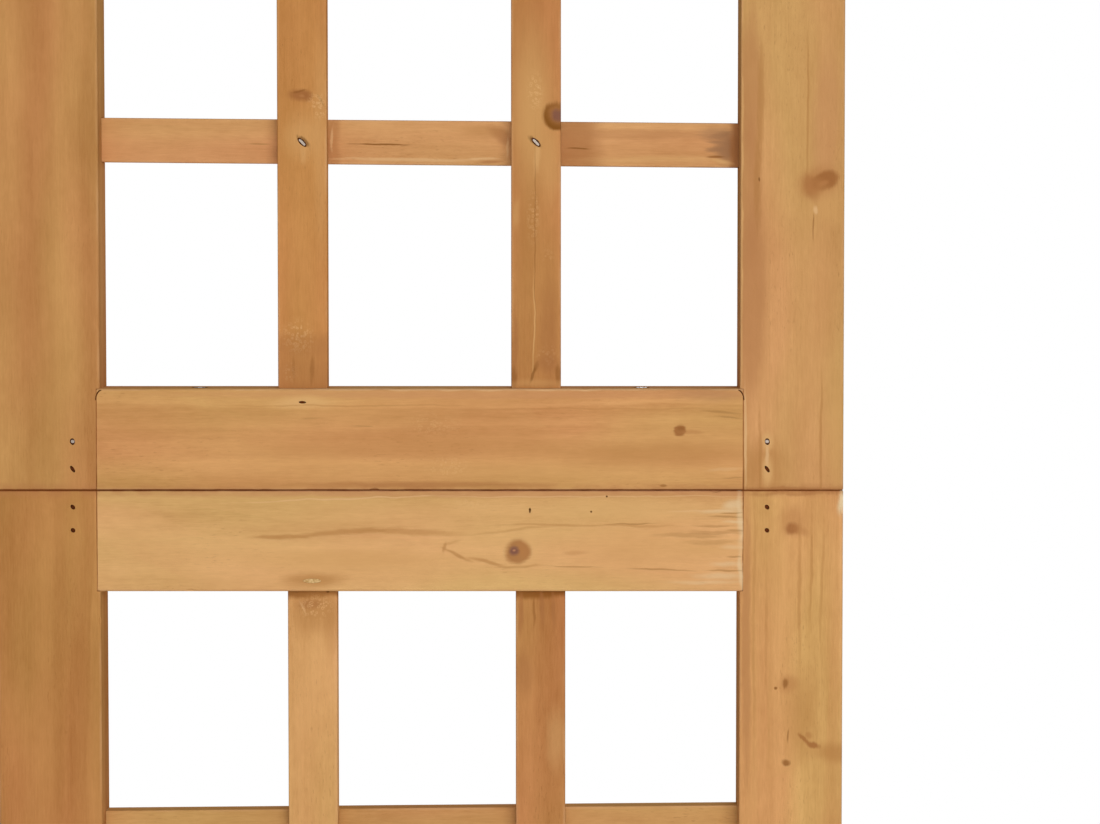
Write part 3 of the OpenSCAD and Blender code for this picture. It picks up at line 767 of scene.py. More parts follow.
def set_up(pattern, low, high, upright, panel, piece, number=None, lean=0.0):
    """A copy of a pattern stick with its own mesh, nicks, seed, stain and place in a panel."""
    obj = pattern.copy()
    obj.data = pattern.data.copy()
    bpy.context.collection.objects.link(obj)
    key = piece if number is None else f"{piece}_{number}"
    lot, stain = stick_wood(panel, key)
    count = TIMBER_NICKS if number is None else SLAT_NICKS
    nicks(obj, low, high, upright, random.Random(f"nicks {panel} {key}"), count)
    if panel == "right":
        for at, size in CHIPS.get(key, ()):
            cut(obj, [dent(Vector(at) * MM, Vector(size) * MM)], slot=0)
    lay_grain(obj, upright, low, high, lot, stain)
    if panel == "right" and key in MARKED:
        knots, *marks = MARKED[key]
        obj.data.materials[0] = stained_fir("stained_fir_" + key, knots, marks)
    smooth(obj)
    middle = (low + high) / 2
    obj.matrix_world = (panel_place(panel) @ Matrix.Translation(middle)
                        @ Matrix.Rotation(lean, 4, "Y") @ Matrix.Translation(-middle))
    settle()
    return obj


def hand_over(obj, panel, piece):
    """Names a finished piece, ties it to its panel and hides the plain node it stands for."""
    node = f"{panel}_panel_{piece}"
    obj.name = "fir_" + node
    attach(obj, panel + "_panel")
    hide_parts(node)


def slat(low, high, upright, arris):
    """A slat with rounded long edges, and its corners."""
    axis = 2 if upright else 0
    obj = block(low, high)
    edit()
    ease(obj, arris, lambda c, d: abs(d[axis]) > ALONG, 2)
    edit(False)
    lay_woods(obj)
    return obj, low, high


def hang_slats(sticks, upright, piece, leans):
    """Copies a frame's slats to all panels, where those of one panel make up one piece."""
    for panel in PANELS:
        copies = [set_up(*stick, upright, panel, piece, number, leans[number])
                  for number, stick in enumerate(sticks)]
        only(*copies)
        bpy.ops.object.join()
        hand_over(copies[0], panel, piece)
    for stick in sticks:
        bpy.data.objects.remove(stick[0], do_unlink=True)


def raise_timber(timber, upright, piece):
    """Copies a stile or a rail to all panels."""
    for panel in PANELS:
        obj = set_up(*timber, upright, panel, piece)
        hand_over(obj, panel, piece)
    bpy.data.objects.remove(timber[0], do_unlink=True)


# What the photograph shows of the right panel's sticks: seed and stain
PHOTO_WOOD = {
    "upper_middle_rail": (3.1, "#D09A62"),
    "lower_middle_rail": (7.4, "#DAAA71"),
    "upper_right_stile": (12.3, "#CC9962"),
    "lower_right_stile": (18.8, "#D29E64"),
    "upper_uprights_0": (22.5, "#CB8E54"),
    "upper_uprights_1": (27.1, "#BC814D"),
    "lower_uprights_0": (31.6, "#DBA76D"),
    "lower_uprights_1": (36.2, "#C18652"),
    "upper_cross_slats_0": (41.9, "#D39D68"),
}

# Chips out of those sticks: middle and half sizes, in millimetres in the panel
CHIPS = {
    "lower_right_stile": (
        ((400.6, -0.4, 860.4), (3.4, 1.5, 4.6)),
        ((400.4, -0.3, 856.5), (2.2, 1.2, 3.4)),
    ),
    "upper_middle_rail": (((333, -0.5, 914.4), (4.5, 1.1, 1.0)),),
}

# Kinds of mark on the stained fir: colour, how strongly it shows, and how softly it ends
KINDS = {
    "growth_line": ("#AE7943", 0.5, 0.6),
    "dark_fibre": ("#A87B48", 0.6, 0.55),
    "pale_fibre": ("#E0B480", 0.6, 0.55),
    "bare_wood": ("#E6CBA0", 0.7, 0.75),
    "rubbed_wood": ("#DDAD72", 0.6, 0.7),
    "yellow_cloud": ("#D2A064", 0.5, 0.8),
    "brown_cloud": ("#B37D46", 0.6, 0.7),
    "red_cloud": ("#B67E50", 0.6, 0.45),
    "pink_cloud": ("#CB9064", 0.5, 0.5),
    "stain": ("#A86F42", 0.6, 0.6),
    # stain with the shadow of a rail above painted over it
    "heavy_stain": ("#84501F", 0.8, 0.6),
    "grey_stain": ("#A07552", 0.7, 0.6),
    "knot": ("#A0683A", 0.9, 0.25),
    "soft_knot": ("#A0663A", 0.8, 0.5),
    "knot_rim": ("#8A5628", 0.7, 0.5),
    "knot_halo": ("#B57C4A", 0.6, 0.6),
    "knot_heart": ("#80564A", 0.8, 0.5),
    "edge_knot": ("#82501E", 0.95, 0.18),
    "crack": ("#8A5A2C", 0.8, 0.5),
    "dirt": ("#54300F", 1.0, 0.35),
    "torn_curls": ("#E2B47C", 0.75, 0.6),
}

# What the photograph shows on those sticks: the knots that bend the grain (l, w, size), then the
# rows of marks, which laid_marks explains. All are in millimetres from the middle of the stick,
# along the grain and across it.
MARKED = {
    "upper_right_stile": (
        ((-271.5, 15, 9.5),),
        # a band along the opening, and a highlight painted along its arris
        ("red_cloud", (-228, -20, 33, 5), (-275, -20.5, 33, 5.5), (-327, -19, 45, 7, 1, 1.2)),
        ("rubbed_wood", (-292, -24, 87, 0.6, 0, 1.2)),
        ("growth_line", (-235, -15, 26, 1.5), (-270.5, -16.5, 21, 1.5), (-237.5, 7, 35, 0.5)),
        ("pink_cloud", (-242, 16, 33, 6.5, 2, 0.7)),
        # the knot near the edge
        ("knot_halo", (-272, 12, 8.5, 7, 60, 1.3)), ("knot", (-271, 15.5, 6.5, 4.5, 62)),
        ("knot_halo", (-272, 15, 2.5, 1.2, 60, 1.2)), ("soft_knot", (-274.5, 9, 3, 6.2, 75, 0.6)),
        ("knot_halo", (-273.5, 11, 5, 4, 60, 0.9)), ("yellow_cloud", (-283.5, 17.5, 7, 7)),
        ("pale_fibre", (-285, 11, 1.7, 0.9, -10, 1.3)), ("crack", (-293, 10, 6, 0.35, 2, 0.7)),
        ("dirt", (-270.5, -15.5, 0.9, 0.4, -5, 0.6)),
        # over the seam, and the brads in it
        ("brown_cloud", (-406.5, -15, 12, 11.5)),
        ("rubbed_wood", (-394, -11.5, 4, 2.5, 0, 1.3), (-407.5, -11.5, 6, 2.5, 0, 1.3)),
        ("pale_fibre", (-400.5, -11.5, 5.5, 0.8, 0, 1.2), (-393, -22, 21, 0.6, 0, 1.2)),
        ("growth_line", (-400, -15, 19, 0.7, 0, 0.8), (-393, 14, 28, 0.6)),
        ("yellow_cloud", (-393, 21, 24, 2.5)), ("stain", (-416, -1, 26, 1, 90)),
    ),
    "lower_right_stile": (
        ((415.5, 0, 3.5), (340.5, -2.5, 3), (312.5, 9.5, 4)),
        # the soft knot under the seam
        ("knot_halo", (418.5, 1, 6.5, 6, 30, 0.8)), ("soft_knot", (415, 0, 3, 2.5, -80)),
        ("knot_halo", (414.5, 4, 4, 2, -72, 0.8)), ("bare_wood", (427, 24, 5, 1.7, 6, 1.4)),
        ("growth_line", (372, -17.5, 61, 0.7, 0, 0.6), (362.5, -11.5, 28, 0.6, 0, 0.6),
         (386, 4, 29, 0.8, 0, 0.8), (395.5, 9.5, 24, 0.6, 0, 0.8), (386, 14.5, 28, 0.7, 1, 0.7)),
        ("red_cloud", (358, -21, 61, 2)),
        # the small knot with a dot beside it
        ("knot_halo", (340.5, -1, 4, 4, 0, 0.8)),
        ("knot_rim", (340.5, -2.5, 2.2, 1.1), (339, -7, 0.7, 0.5, 90, 1.2)),
        # the bent knot lower down
        ("soft_knot", (315, 6, 3.3, 0.9, -48, 1.1), (312, 10.5, 3.3, 1.4, -70, 1.1)),
        ("knot_halo", (316.5, 8.5, 1.5, 1.5)), ("brown_cloud", (308.5, 22, 10.5, 4.5, 90)),
        ("crack", (316.5, -1, 3, 0.4, 2, 0.8)), ("knot_rim", (303.5, -2, 1.2, 1.7, 0, 1.1)),
        ("stain", (431.5, 4, 21, 1, 90, 0.8)), ("brown_cloud", (327, 5, 20, 6, 0, 0.7)),
    ),
    "upper_middle_rail": (
        ((123, 4, 4),),
        # the rubbed top edge, with a highlight painted along its arris
        ("pale_fibre", (38, 23.7, 124, 0.5, 0, 1.6)), ("pink_cloud", (38, 21.5, 141, 2, 0, 0.8)),
        ("brown_cloud", (-9.5, -3, 80, 5.5, 1, 0.7)), ("yellow_cloud", (66, -14.5, 71, 4, 0, 0.7)),
        ("knot", (123, 4, 3.2, 2.4, 35)), ("knot_rim", (123.6, 4.6, 1.7, 1.2, 30, 0.55)),
        ("knot_halo", (127.5, 3.5, 5.5, 1, 0, 0.8)),
        # round the pin
        ("rubbed_wood", (-55, 17.5, 13.5, 2.5, 1, 1.4)),
        ("growth_line", (-37.5, 16, 52, 0.4, 0, 0.7)),
        ("dark_fibre", (-27, 6, 5, 0.35, -2, 0.7), (-51, 10, 5.5, 0.35, 2, 0.6)),
        ("torn_curls", (7, 7, 11, 5, 0, 0.35), (13, -13, 9, 4, 0, 0.5)),
        ("stain", (0, -21.5, 52, 1.5, 0, 0.9)), ("knot_rim", (115, -22, 1.4, 0.6, 0, 0.8)),
        ("growth_line", (85, 14.5, 57, 0.4, 0, 0.5)), ("brown_cloud", (111, -6.5, 47, 6, 0, 0.9)),
        # the end that meets the stile
        ("dark_fibre", (142.5, 13, 7.5, 0.5, -4), (146.5, 10.5, 5, 0.4, -6)),
        ("pale_fibre", (144, -14, 8.5, 0.7, 3, 0.6)), ("dark_fibre", (148, -18, 4.5, 0.4, 2, 0.8)),
        ("grey_stain", (137, 20.5, 14, 3, 0, 0.4)),
    ),
    "lower_middle_rail": (
        ((45.5, -4.5, 8),),
        ("pink_cloud", (38, 22.5, 141, 1.5, 0, 0.8)),
        # the scratch under the seam
        ("pale_fibre", (-35.5, 20, 45, 0.3, 2, 1.2), (80.5, 21, 71, 0.3, 0, 0.9)),
        ("torn_curls", (23, 17.5, 9, 2, 0, 0.6)), ("brown_cloud", (-44.5, 4.5, 34, 5, 0, 0.5)),
        ("rubbed_wood", (95.5, 15.5, 34, 5)),
        ("yellow_cloud", (-37.5, -9, 42.5, 4.5), (104, -2, 28, 10.5, 0, 0.8)),
        # the long line on the left
        ("growth_line", (-67, 2, 12.5, 0.9, 2, 1.1), (-35.5, 4, 22.5, 1.2, 4),
         (-2.5, 4, 20, 1.3, -2, 0.8)),
        # the lines round the knot
        ("growth_line", (12, -3, 2.5, 0.8, 70, 0.9), (17.5, -6.5, 6.5, 0.7, -28, 1.1),
         (31.5, -10, 8.5, 0.8, -11, 1.1), (47.5, -12, 9, 0.6, 2, 0.9), (15, -1, 4, 0.7, 20, 0.5),
         (45, 5, 19, 0.6, 6, 0.6), (66, 7.5, 28, 0.5, 0, 0.7), (104, 7, 12.5, 0.5, -1, 0.7)),
        # the round knot
        ("rubbed_wood", (47.5, -4.5, 7, 6.3, 12, 1.2)), ("knot", (46, -5, 6, 5.3, 12, 0.85)),
        ("knot_halo", (48.5, -4, 3, 4, 0, 1.3)), ("rubbed_wood", (50.5, 0, 4, 1.5, -32, 0.9)),
        ("knot_heart", (44, -4.5, 2.2, 2, 0, 1.1)), ("pink_cloud", (44, -4.2, 0.6, 0.5, 0, 1.2)),
        ("knot_halo", (73, -5.5, 5.5, 1, 4, 0.5)),
        ("dirt", (51.5, 14.5, 1.3, 0.5, -85), (89, 21, 0.5, 0.4), (80.5, 14, 0.5, 0.4)),
        # round the filler
        ("brown_cloud", (-50.5, -18.5, 13, 3, 0, 1.1)),
        ("dark_fibre", (113.5, -13.5, 13, 0.4, -2), (100, 8, 9.5, 0.4, 2),
         (73, -12, 10.5, 0.4, -1, 0.8)),
        ("pale_fibre", (132, 14, 14, 0.4, 1, 1.1)),
        # the bare end that meets the stile
        ("yellow_cloud", (138, -3, 13, 4, 0, 0.8)),
        ("bare_wood", (151.3, 10, 1.3, 11.5, 0, 0.8), (151.8, -14.5, 1, 8, 0, 0.8),
         (148, 17, 4, 2, 12, 0.8), (142.5, 14, 8.5, 0.8, 3, 0.5), (148.5, 9, 4, 0.6, -2, 0.6),
         (145.5, -11, 7.5, 1, 2, 0.5), (147.5, -3, 4.5, 0.9, 0, 0.4),
         (142.5, -16.5, 10.5, 1.3, 0, 0.55), (134.5, -19.5, 14, 0.8, 0, 0.45)),
        ("dark_fibre", (147.5, 13.2, 4.5, 0.4, 3, 0.9), (148.5, 4.8, 4, 0.5, 0, 0.9),
         (149.5, -7.5, 3, 0.5, 0, 0.9), (144.5, 11.5, 6.5, 0.5, -2), (139.5, 7, 8.5, 0.5, 0, 0.8),
         (145.5, -14, 8.5, 0.4, -1), (127.5, 2.5, 15, 1.1, 0, 0.7), (138, 4, 11.5, 0.9, -1, 0.7),
         (138, -0.5, 10.5, 1.2, 1, 0.5)),
    ),
    "upper_uprights_0": (
        ((-231.5, -0.5, 4),),
        # the knot over the cross slat
        ("soft_knot", (-231.5, -1, 5, 3, 90), (-231.5, 2.5, 2.4, 2.4, 0, 0.6)),
        ("knot_halo", (-232, 0, 0.7, 1.2, 0, 1.2)),
        ("knot_rim", (-229.5, -1.5, 3.3, 0.6, 72, 0.8)),
        # round the staple, whose dark rim is dirt with painted shade
        ("rubbed_wood", (-250.5, 0.5, 9.5, 7.5, 10, 0.6), (-251.5, 9, 42.5, 3, 0, 0.4),
         (-260, 0.5, 3.3, 1.2, 0, 0.5)),
        ("dirt", (-252.5, 0.5, 3.6, 1.4, -45, 0.6)), ("dark_fibre", (-233.5, 9, 2.5, 0.4, -35)),
        ("torn_curls", (-236, 7.5, 5, 4, -20, 0.7), (-344.5, -2.5, 7, 6.5, 0, 0.8),
         (-362, -5.5, 4, 3, 0, 0.6)),
        # gathered at the foot
        ("stain", (-364, 0.5, 28, 11.5, 90, 0.85), (-348.5, -1, 21, 5.5, 90, 0.7)),
        ("knot_rim", (-360, 4.5, 6.5, 0.9, 2, 0.55), (-360.5, -4, 5.5, 0.8, -2, 0.35)),
    ),
    "upper_uprights_1": (
        ((-240.5, 9.5, 5.5),),
        ("yellow_cloud", (-236.5, -2, 33, 8, 0, 1.6), (-263.5, 7.5, 16, 4, 2)),
        # the knot that breaks the edge
        ("edge_knot", (-241, 10, 7, 6, -52)), ("knot_halo", (-239.5, 10.5, 4.7, 4, -52, 1.1)),
        ("knot_heart", (-240, 10.5, 2.6, 3)),
        # round the staple, whose dark rim is dirt with painted shade
        ("rubbed_wood", (-260, 0.5, 6.5, 1.4, 6, 0.9)), ("dirt", (-253, -0.5, 3.6, 1.4, -45, 0.6)),
        ("torn_curls", (-229, -0.5, 8, 3, 0, 0.8), (-288.5, -1.5, 11, 2.6, 0, 0.7),
         (-306, 6, 4, 2.6, 0, 0.5), (-354, 5.5, 5, 4, 0, 0.5)),
        ("crack", (-294, -0.5, 40, 0.3, 0, 0.5)), ("yellow_cloud", (-285.5, -9.5, 5.5, 1.5)),
        ("brown_cloud", (-301, -4.5, 23.5, 4, 2, 0.7), (-315.5, 6, 23.5, 4, 0, 0.7)),
        # the split, and the foot
        ("rubbed_wood", (-341.5, -1, 21, 0.35)),
        ("crack", (-363, -1, 4, 0.6, 18, 0.9), (-359, 0.5, 2.5, 1, 10, 0.6)),
        ("stain", (-343.5, 6, 22, 4, 0, 0.8), (-357.5, 5.5, 4, 5, 0, 0.9), (-350.5, -10, 16, 1.5)),
        ("knot_rim", (-364, -10.5, 4, 1.6, 0, 0.8), (-362.5, 10.5, 4, 1.6, 0, 0.8)),
        ("yellow_cloud", (-367, -0.5, 11.5, 1.6, 90, 0.8)),
    ),
    "lower_uprights_0": (
        (),
        # gathered under the rail, with the rail's shadow painted across the top
        ("heavy_stain", (368, 1, 38, 2.4, 90)),
        ("brown_cloud", (359.5, 3, 11.5, 9.5, 90), (351, 8.5, 14, 3, 0, 0.7)),
        ("stain", (362.5, -1, 5.5, 2.4, 90, 0.9)), ("dirt", (368, 7.5, 0.6, 0.8, 0, 0.8)),
        ("pale_fibre", (361, -4.5, 2.8, 0.5, -25, 0.7)), ("torn_curls", (361, 1.5, 5, 7, 0, 0.7)),
    ),
    "lower_uprights_1": (
        (),
        # gathered under the rail, with the rail's shadow painted across the top
        ("heavy_stain", (368, -2, 38, 2.6, 90)),
        ("stain", (359.5, -9.5, 9.5, 1.2, 2), (360.5, 1, 8.5, 1.1, -1, 1.1), (359.5, 6, 8, 0.9)),
        ("knot_rim", (359.5, -3, 6.5, 0.6, 0, 0.7)), ("stain", (329.5, -8, 10.5, 4, 0, 0.8)),
        ("rubbed_wood", (298.5, 7, 12.5, 4, 0, 0.6)),
    ),
    "upper_cross_slats_0": (
        (),
        ("dark_fibre", (-76.5, -1, 4, 0.4, 2)),
        # at the first upright: the band across the slat beside it is painted shade of the upright,
        # with some gathered stain
        ("stain", (-41, 0, 2.8, 33, 0, 0.8)), ("pale_fibre", (-41.5, 1.5, 5, 0.6, 90)),
        ("crack", (-18.5, -1, 12.5, 0.4, 0, 1.1)),
        ("pale_fibre", (-7, -8, 31, 0.8), (30, -7.5, 6.5, 0.5, 2, 1.1)),
        ("stain", (33, -9, 5.5, 0.7, 4)), ("brown_cloud", (29.5, 5.5, 9.5, 3, 0, 0.7)),
        # at the second upright: the wedge and the band beside it are painted shade of the upright,
        # with some gathered stain
        ("stain", (38, 4, 6, 3, -35, 0.8)), ("pale_fibre", (41, -2, 4.2, 0.6, 90, 1.1)),
        ("stain", (74.5, 0, 10.5, 24, 0, 1.1)), ("crack", (74.5, -2, 6, 0.35)),
        ("red_cloud", (104, 5, 33, 2.4, 0, 0.8)), ("rubbed_wood", (113.5, -7, 30, 1.4, 1, 0.7)),
        ("grey_stain", (80.5, -11.5, 12.5, 0.8, 2, 1.2), (111, -12, 5.5, 0.5)),
        ("stain", (136, -11, 7.5, 0.7, -3)),
        # at the stile: the band against it and the grey marks beside that are painted shade of the
        # stile
        ("grey_stain", (145, -1.5, 4.5, 6.5, -12, 1.2)), ("stain", (149.5, -1.5, 2.6, 28, 0, 1.4)),
        ("grey_stain", (139.5, 5.5, 6.5, 3, 0, 0.7), (142.5, 4.5, 4, 1.6, 14, 0.9),
         (140.5, 1.5, 3.3, 0.7, -4, 0.9), (140, -2, 4, 1.2, 4)),
        ("knot_rim", (139.5, -5.5, 4, 0.6)), ("rubbed_wood", (143.5, -8, 4, 1, -10, 1.2)),
    ),
}


# The pieces ---------------------------------------------------------------------------------------


class TRELLIS_OT_woods(Operator):
    """Mixes the stained fir that every stick shares, its end grain and the stuff of its pits"""

    bl_idname = "trellis.woods"
    bl_label = "Woods"

    def execute(self, context):
        stained_fir("stained_fir")
        fir_end_grain(context.scene.trellis_colours.end_grain)
        grimy_shaded_pit()
        wood_filler()
        return {"FINISHED"}


class TRELLIS_OT_stiles(Operator):
    """Cuts the four stiles of a panel, with housings and mortises, and copies them to all panels"""

    bl_idname = "trellis.stiles"
    bl_label = "Stiles"

    def execute(self, context):
        sizes = context.scene.trellis_sizes
        for half in ("upper", "lower"):
            for side in ("left", "right"):
                piece = f"{half}_{side}_stile"
                raise_timber(self.pattern(sizes, half, side, piece), True, piece)
        return {"FINISHED"}

    def pattern(self, sizes, half, side, piece):
        low, high = span(piece)
        out = 1 if side == "left" else -1  # the way to the opening
        outer, inner = (low.x, high.x) if out == 1 else (high.x, low.x)
        shy = inner - out * sizes.housing
        obj = block((min(outer, shy), 0, low.z), (max(outer, shy), THICK, high.z))
        steps = [outward(half, RAIL_H), outward(half, FRAME_H - RAIL_H)]
        window = sorted(steps)
        if half == "lower":
            steps.append(FOOT)
        edit()
        for z in steps:
            bpy.ops.mesh.select_all(action="SELECT")
            bpy.ops.mesh.bisect(plane_co=(0, 0, z), plane_no=(0, 0, 1))
        pick(obj, "FACE", lambda c, n: n.x * out > ALONG
             and (window[0] < c.z < window[1] or (half == "lower" and c.z < FOOT)))
        bpy.ops.mesh.extrude_region_move(
            TRANSFORM_OT_translate={"value": (out * sizes.housing, 0, 0)})
        bpy.ops.mesh.select_all(action="SELECT")
        bpy.ops.mesh.dissolve_limited(angle_limit=math.radians(0.5))
        ease(obj, sizes.arris,
             lambda c, d: abs(d.z) > ALONG and (near(c.x, outer) or near(c.x, inner)))
        far = high.z if half == "upper" else low.z
        for z, width in ((SEAM, sizes.seam_arris), (far, sizes.arris)):
            ease(obj, width, lambda c, d, z=z: near(c.z, z) and not near(c.x, shy)
                 and abs(d.z) < ACROSS, 2)
        ease(obj, sizes.joint_arris, lambda c, d: abs(d.z) > ALONG and near(c.x, shy), 1)
        edit(False)
        lay_woods(obj)
        self.joints(sizes, obj, half, out, inner)
        return obj, low, high

    def joints(self, sizes, obj, half, out, inner):
        """Mortises for tenons and slats, the peg's hole and the pits of the brads."""
        play = sizes.play

        def mortise(depth, y0, y1, z0, z1):
            a, b = sorted((inner - out * (depth + 2 * play), inner + out * MM))
            return block((a, y0, min(z0, z1)), (b, y1, max(z0, z1)))

        thick = sizes.tenon_thick / 2 + play
        cutters = [
            mortise(sizes.tenon, THICK / 2 - thick, THICK / 2 + thick,
                    outward(half, rail + sizes.shoulder - play),
                    outward(half, rail + RAIL_H - sizes.shoulder + play))
            for rail in (0, FRAME_H - RAIL_H)
        ]
        slat_y = sizes.inset + sizes.slat_thick
        rise = sizes.slat / 2 + play
        for z, share in zip(slat_heights(half, sizes), LEANS):
            lean = sizes.lean * share * (1 if half == "upper" else -1)
            z -= math.sin(lean) * (inner - PANEL_W / 2)
            cutters.append(mortise(sizes.slat_seat, slat_y - play,
                                   slat_y + sizes.slat_thick + play, z - rise, z + rise))
        peg = span_of_pegs(sizes)[0 if out == 1 else 1]
        cutters.append(bore(peg, THICK / 2, SEAM, sizes.peg + 2 * play, PEG_HOLE, sides=24, spin=0))
        cut(obj, cutters)
        cut(obj, brad_pits(half, inner - out * sizes.tenon / 2, sizes.pit), GRIME_AND_SHADE)
        cut(obj, corner_grooves(half, out), GRIME_AND_SHADE)


class TRELLIS_OT_rails(Operator):
    """Cuts the four rails of a panel, with their tenons and mortises, and copies them to all"""

    bl_idname = "trellis.rails"
    bl_label = "Rails"

    def execute(self, context):
        sizes = context.scene.trellis_sizes
        for piece, half, at_seam in (
            ("top_rail", "upper", False),
            ("upper_middle_rail", "upper", True),
            ("lower_middle_rail", "lower", True),
            ("bottom_rail", "lower", False),
        ):
            raise_timber(self.pattern(sizes, piece, half, at_seam), False, piece)
        return {"FINISHED"}

    def pattern(self, sizes, piece, half, at_seam):
        low, high = span(piece)
        x0, x1 = STILE_W - sizes.housing, PANEL_W - STILE_W + sizes.housing
        body_low, body_high = Vector((x0, 0, low.z)), Vector((x1, THICK, high.z))
        obj = block(body_low, body_high)
        opening = outward(half, RAIL_H if at_seam else FRAME_H - RAIL_H)
        edit()
        ease(obj, sizes.arris, lambda c, d: abs(d.x) > ALONG and near(c.z, opening))
        ease(obj, sizes.seam_arris if at_seam else sizes.arris, lambda c, d: abs(d.x) > ALONG
             and abs(c.z - opening) > RAIL_H - TINY and on_face(c), 2)
        for side, end in ((-1, x0), (1, x1)):
            ease(obj, sizes.joint_arris, lambda c, d, end=end: near(c.x, end)
                 and abs(d.z) > ALONG and on_face(c), 1)
            pick(obj, "FACE", lambda c, n, side=side: n.x * side > FACING)
            bpy.ops.mesh.extrude_region_move(TRANSFORM_OT_translate={"value": (0, 0, 0)})
            bpy.ops.transform.resize(
                value=(1, sizes.tenon_thick / THICK, 1 - 2 * sizes.shoulder / RAIL_H),
                center_override=(end, THICK / 2, (low.z + high.z) / 2))
            reach = side * (sizes.tenon - sizes.housing)
            bpy.ops.mesh.extrude_region_move(TRANSFORM_OT_translate={"value": (reach, 0, 0)})
        edit(False)
        lay_woods(obj)
        into = 1 if opening < (low.z + high.z) / 2 else -1  # from the opening into the timber
        self.joints(sizes, obj, piece, half, at_seam, opening, into)
        return obj, body_low, body_high

    def joints(self, sizes, obj, piece, half, at_seam, opening, into):
        """Mortises for the uprights, pits of their brads, and the holes of bolts and nuts."""
        play = sizes.play
        cutters, pits = [], []
        for number, x in enumerate(upright_places(half, sizes)):
            a, b = sorted((opening - into * MM, opening + into * (sizes.upright_seat + 2 * play)))
            wide = sizes.upright / 2 + play
            cutters.append(block((x - wide, sizes.inset - play, a),
                                 (x + wide, sizes.inset + sizes.slat_thick + play, b)))
            pin = opening + into * UPRIGHT_BRADS[half]
            face = THICK - PIT_SUNK if number % 2 else PIT_SUNK
            pits.append(bore(x, face, pin, sizes.pit * 0.5, PIT_DEEP, sizes.pit * 1.4, 0.05))
            if filled(piece, number):
                cutters.append(bore(x, 0, pin, FILLER_HIGH, FILLER_DEEP, FILLER_LONG, sides=20))
        if at_seam:
            low, high = span("bolts")
            for x in (low.x + BOLT_IN, high.x - BOLT_IN):
                for z, wide, deep, taper in (
                    (SEAM, sizes.bolt + 2 * play, 2 * (RAIL_H + BOLT_PAST), 1.0),
                    (SEAM + RAIL_H - NUT_DOWN, NUT_WIDE, NUT_DEEP, 1.0),
                    (SEAM - RAIL_H, SINK_WIDE, SINK_DEEP, SINK_TAPER),
                ):
                    cutters.append(
                        bore(x, THICK / 2, z, wide, deep, taper=taper, sides=24, spin=0))
        cut(obj, cutters)
        cut(obj, pits, GRIME_AND_SHADE)
        cut(obj, corner_grooves(half, 1) + corner_grooves(half, -1), GRIME_AND_SHADE)


class TRELLIS_OT_uprights(Operator):
    """Cuts the upright slats with the almond-shaped slots of their staples"""

    bl_idname = "trellis.uprights"
    bl_label = "Uprights"

    def execute(self, context):
        sizes = context.scene.trellis_sizes
        half_wide = sizes.upright / 2
        for half in ("upper", "lower"):
            low, high = span(half + "_uprights")
            sticks = []
            for x in upright_places(half, sizes):
                a = Vector((x - half_wide, sizes.inset, low.z))
                b = Vector((x + half_wide, sizes.inset + sizes.slat_thick, high.z))
                sticks.append(slat(a, b, True, sizes.slat_arris))
                slots = [bore(x, sizes.inset + SLOT[0], z, *SLOT[1:])
                         for z in slat_heights(half, sizes)]
                cut(sticks[-1][0], slots, GRIME_AND_SHADE)
            hang_slats(sticks, True, half + "_uprights", [0.0] * len(sticks))
        return {"FINISHED"}


class TRELLIS_OT_cross_slats(Operator):
    """Cuts the cross slats, each a little out of level, behind the uprights"""

    bl_idname = "trellis.cross_slats"
    bl_label = "Cross slats"

    def execute(self, context):
        sizes = context.scene.trellis_sizes
        front = sizes.inset + sizes.slat_thick
        x0, x1 = STILE_W - sizes.slat_seat, PANEL_W - STILE_W + sizes.slat_seat
        for half in ("upper", "lower"):
            sticks = []
            for z in slat_heights(half, sizes):
                a = Vector((x0, front, z - sizes.slat / 2))
                b = Vector((x1, front + sizes.slat_thick, z + sizes.slat / 2))
                sticks.append(slat(a, b, False, sizes.slat_arris))
            way = sizes.lean if half == "upper" else -sizes.lean
            hang_slats(sticks, False, half + "_cross_slats", [way * share for share in LEANS])
        return {"FINISHED"}


def filled(piece, number):
    return piece == "lower_middle_rail" and number == 0


class TRELLIS_OT_filler(Operator):
    """Fills the pit of one brad in each lower middle rail with wood filler"""

    bl_idname = "trellis.filler"
    bl_label = "Filler"

    def execute(self, context):
        x = upright_places("lower", context.scene.trellis_sizes)[0]
        z = SEAM - RAIL_H + UPRIGHT_BRADS["lower"]
        for panel in PANELS:
            rng = random.Random("filler " + panel)
            obj = bore(x, FILM_SUNK, z, FILLER_HIGH * 0.96, FILM_THICK, FILLER_LONG * 0.98,
                       sides=20)
            edit()
            ease(obj, FILM_ROUND, lambda c, n: near(c.y, FILM_SUNK - FILM_THICK / 2), 2)
            pick(obj, "FACE", lambda c, n: n.y < -FACING)
            bpy.ops.mesh.inset(thickness=0.5 * MM, depth=-0.05 * MM)
            edit(False)
            for vertex in obj.data.vertices:
                vertex.co.y += rng.uniform(0, FILM_UNEVEN)
            obj.data.materials.append(bpy.data.materials["wood_filler"])
            smooth(obj)
            obj.matrix_world = panel_place(panel)
            settle()
            obj.name = f"filler_{panel}_panel"
            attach(obj, panel + "_panel")
        return {"FINISHED"}


def finish(part, material):
    """Gives a material to the CAD nodes that have this word in their name."""
    for name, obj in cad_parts.items():
        if part in name:
            for place in obj.material_slots:
                place.material = material


